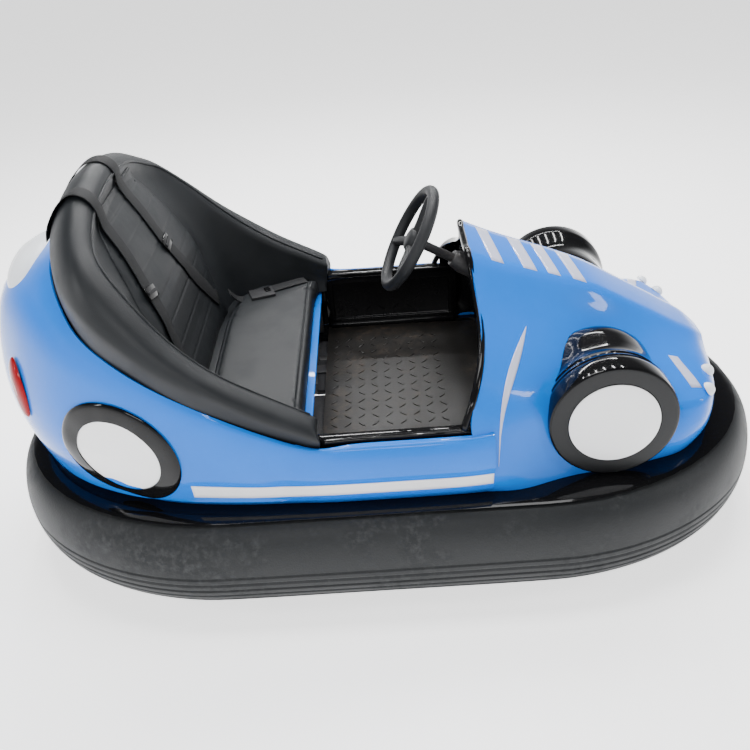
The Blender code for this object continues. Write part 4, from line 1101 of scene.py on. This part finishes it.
lapAlong = (0.9, 0.42, 0.0)
plate("lap_tongue", (-0.276, 0.292, 0.5035), lapAlong, (0.0, 1.0, 0.0), (0.034, 0.03, 0.003), framePaint,
    0.001)
plate("lap_release", (-0.302, 0.274, 0.51), lapAlong, (0.0, 1.0, 0.0), (0.016, 0.022, 0.004), glossBlack,
    0.001)
for tag in ("R", "L"):
    line = strapLines[tag]
    spot = int(len(line) * beltShape["buckleAt"])
    run = (line[spot + 2] - line[spot - 2]).normalized()
    out = Vector((0.0, -1.0, 0.0)).cross(run).normalized()
    if out.x < 0.0:
        out.negate()
    plate("strap_buckle_" + tag, line[spot] + out * 0.003, run, (0.0, 1.0, 0.0), (0.03, 0.054, 0.0045),
        glossBlack, 0.0015)
    plate("strap_bar_" + tag, line[spot] + out * 0.006, run, (0.0, 1.0, 0.0), (0.008, 0.048, 0.004), darkCase,
        0.001)
print("belts made")


def tyre(name, centre, radius, width, body):
    # the hub, the rim and the tread of one side, mirrored for the other
    half, outer = width / 2, [(0.35, 0.8), (0.62, 0.8), (0.66, 0.98), (0.9, 1.0), (0.97, 0.88), (0.995, 0.6)]
    side = [(0.0, half * 1.12), (0.012, half * 1.12), (0.014, half * 0.95)] + [(radius * r, half * h) for r,
        h in outer]
    profile = [(r, -h) for r, h in side] + [(radius, 0.0)] + side[::-1]
    spunPiece(name + "_tyre", profile, centre, (0.0, 1.0, 0.0), [tyreRubber, framePaint], body, [name],
        steps=64, sharp=50,
              split=lambda r, h: 1 if r < radius * 0.63 else 0)


tyre("drive_wheel", (0.45, 0.0, 0.1), 0.1, 0.06, "drive_wheel")
tyre("trail_wheel_R", (-0.56, -0.23, 0.075), 0.075, 0.04, "trail_wheel_R")
tyre("trail_wheel_L", (-0.56, 0.23, 0.075), 0.075, 0.04, "trail_wheel_L")
bevelledNode("drive_motor", edge=0.003, segments=3)
bevelledNode("kingpin", edge=0.001)
for tag in ("R1", "R2", "L1", "L2"):
    roundedNode("nose_lamp_" + tag)
print("running gear made")

bpy.ops.mesh.primitive_plane_add(size=60.0, location=(0.0, 0.0, 0.0))
floor = bpy.context.object
floor.name = "floor"
floorPaint, floorTree, floorShader = startMaterial("floorPaint", (0.93, 0.93, 0.935), 0.8)
floorDrift = useGroup(floorTree, blotches, Scale=0.8, Low=0.3, High=0.8)
floorTree.links.new(twoColours(floorTree, floorDrift.outputs["Mask"], (0.93, 0.93, 0.935), (0.9, 0.9, 0.905)),
    floorShader.inputs["Base Color"])
clothe(floor, floorPaint)
floorShader.inputs["Emission Color"].default_value = (1.0, 1.0, 1.0, 1.0)
floorShader.inputs["Emission Strength"].default_value = 1.5

world = bpy.data.worlds.new("studio")
bpy.context.scene.world = world
world.use_nodes = True
skyTree = world.node_tree
skyWhere = place(skyTree, "ShaderNodeTexCoord")
skySplit = place(skyTree, "ShaderNodeSeparateXYZ")
skyRamp = place(skyTree, "ShaderNodeMapRange", {"interpolation_type": "SMOOTHSTEP"}, From_Min=-0.05,
    From_Max=0.4, To_Min=1.5, To_Max=0.12)
skyTree.links.new(skyWhere.outputs["Generated"], skySplit.inputs[0])
skyTree.links.new(skySplit.outputs["Z"], skyRamp.inputs["Value"])
skyTree.links.new(skyRamp.outputs["Result"], skyTree.nodes["Background"].inputs["Strength"])
skyTree.nodes["Background"].inputs["Color"].default_value = (0.97, 0.98, 1.0, 1.0)

lightTable = {
    "overheadLong": {"at": (0.0, -0.2, 3.4), "to": (0.0, 0.0, 0.4), "size": (2.4, 0.8), "power": 75.0},
    "stripFar": {"at": (0.0, 2.7, 2.4), "to": (0.0, 0.0, 0.5), "size": (3.0, 0.06), "power": 60.0},
    "nearSide": {"at": (-0.6, -3.4, 2.6), "to": (0.0, 0.0, 0.4), "size": (2.0, 0.4), "power": 60.0},
    "rightEnd": {"at": (3.0, -1.0, 1.8), "to": (0.3, 0.0, 0.5), "size": (0.25, 1.0), "power": 26.0},
    "leftEnd": {"at": (-2.9, -1.3, 1.9), "to": (-0.4, 0.0, 0.5), "size": (0.14, 1.1), "power": 30.0},
}
for step in range(6):
    away = -1.5 + 0.6 * step
    lightTable["ceiling%d" % step] = {"at": (away, 1.3, 3.0), "to": (away, 1.2, 0.0), "size": (0.07, 1.1),
        "power": 26.0}
for lightName, spec in lightTable.items():
    data = bpy.data.lights.new(lightName, "AREA")
    data.shape = "RECTANGLE"
    data.size, data.size_y = spec["size"]
    data.energy = spec["power"]
    lamp = bpy.data.objects.new(lightName, data)
    bpy.context.scene.collection.objects.link(lamp)
    lamp.location = spec["at"]
    lamp.rotation_euler = (Vector(spec["to"]) - Vector(spec["at"])).to_track_quat("-Z", "Y").to_euler()

cameraSpec = {"azimuth": 1.47400281, "elevation": 32.57361413, "roll": -4.66156869,
    "at": (0.0403549, -1.93420578, 1.60792971), "lens": 41.49}
az, el, roll = (math.radians(cameraSpec[key]) for key in ("azimuth", "elevation", "roll"))
back = Vector((math.sin(az) * math.cos(el), -math.cos(az) * math.cos(el), math.sin(el)))
right = Vector((math.cos(az), math.sin(az), 0.0))
up = back.cross(right)
turnedRight = right * math.cos(roll) + up * math.sin(roll)
turnedUp = up * math.cos(roll) - right * math.sin(roll)
cameraData = bpy.data.cameras.new("studioCamera")
cameraData.lens = cameraSpec["lens"]
cameraData.sensor_width = 36.0
camera = bpy.data.objects.new("studioCamera", cameraData)
bpy.context.scene.collection.objects.link(camera)
camera.matrix_world = Matrix.Translation(cameraSpec["at"]) @ Matrix((turnedRight, turnedUp,
    back)).transposed().to_4x4()
bpy.context.scene.camera = camera
print("stage set")
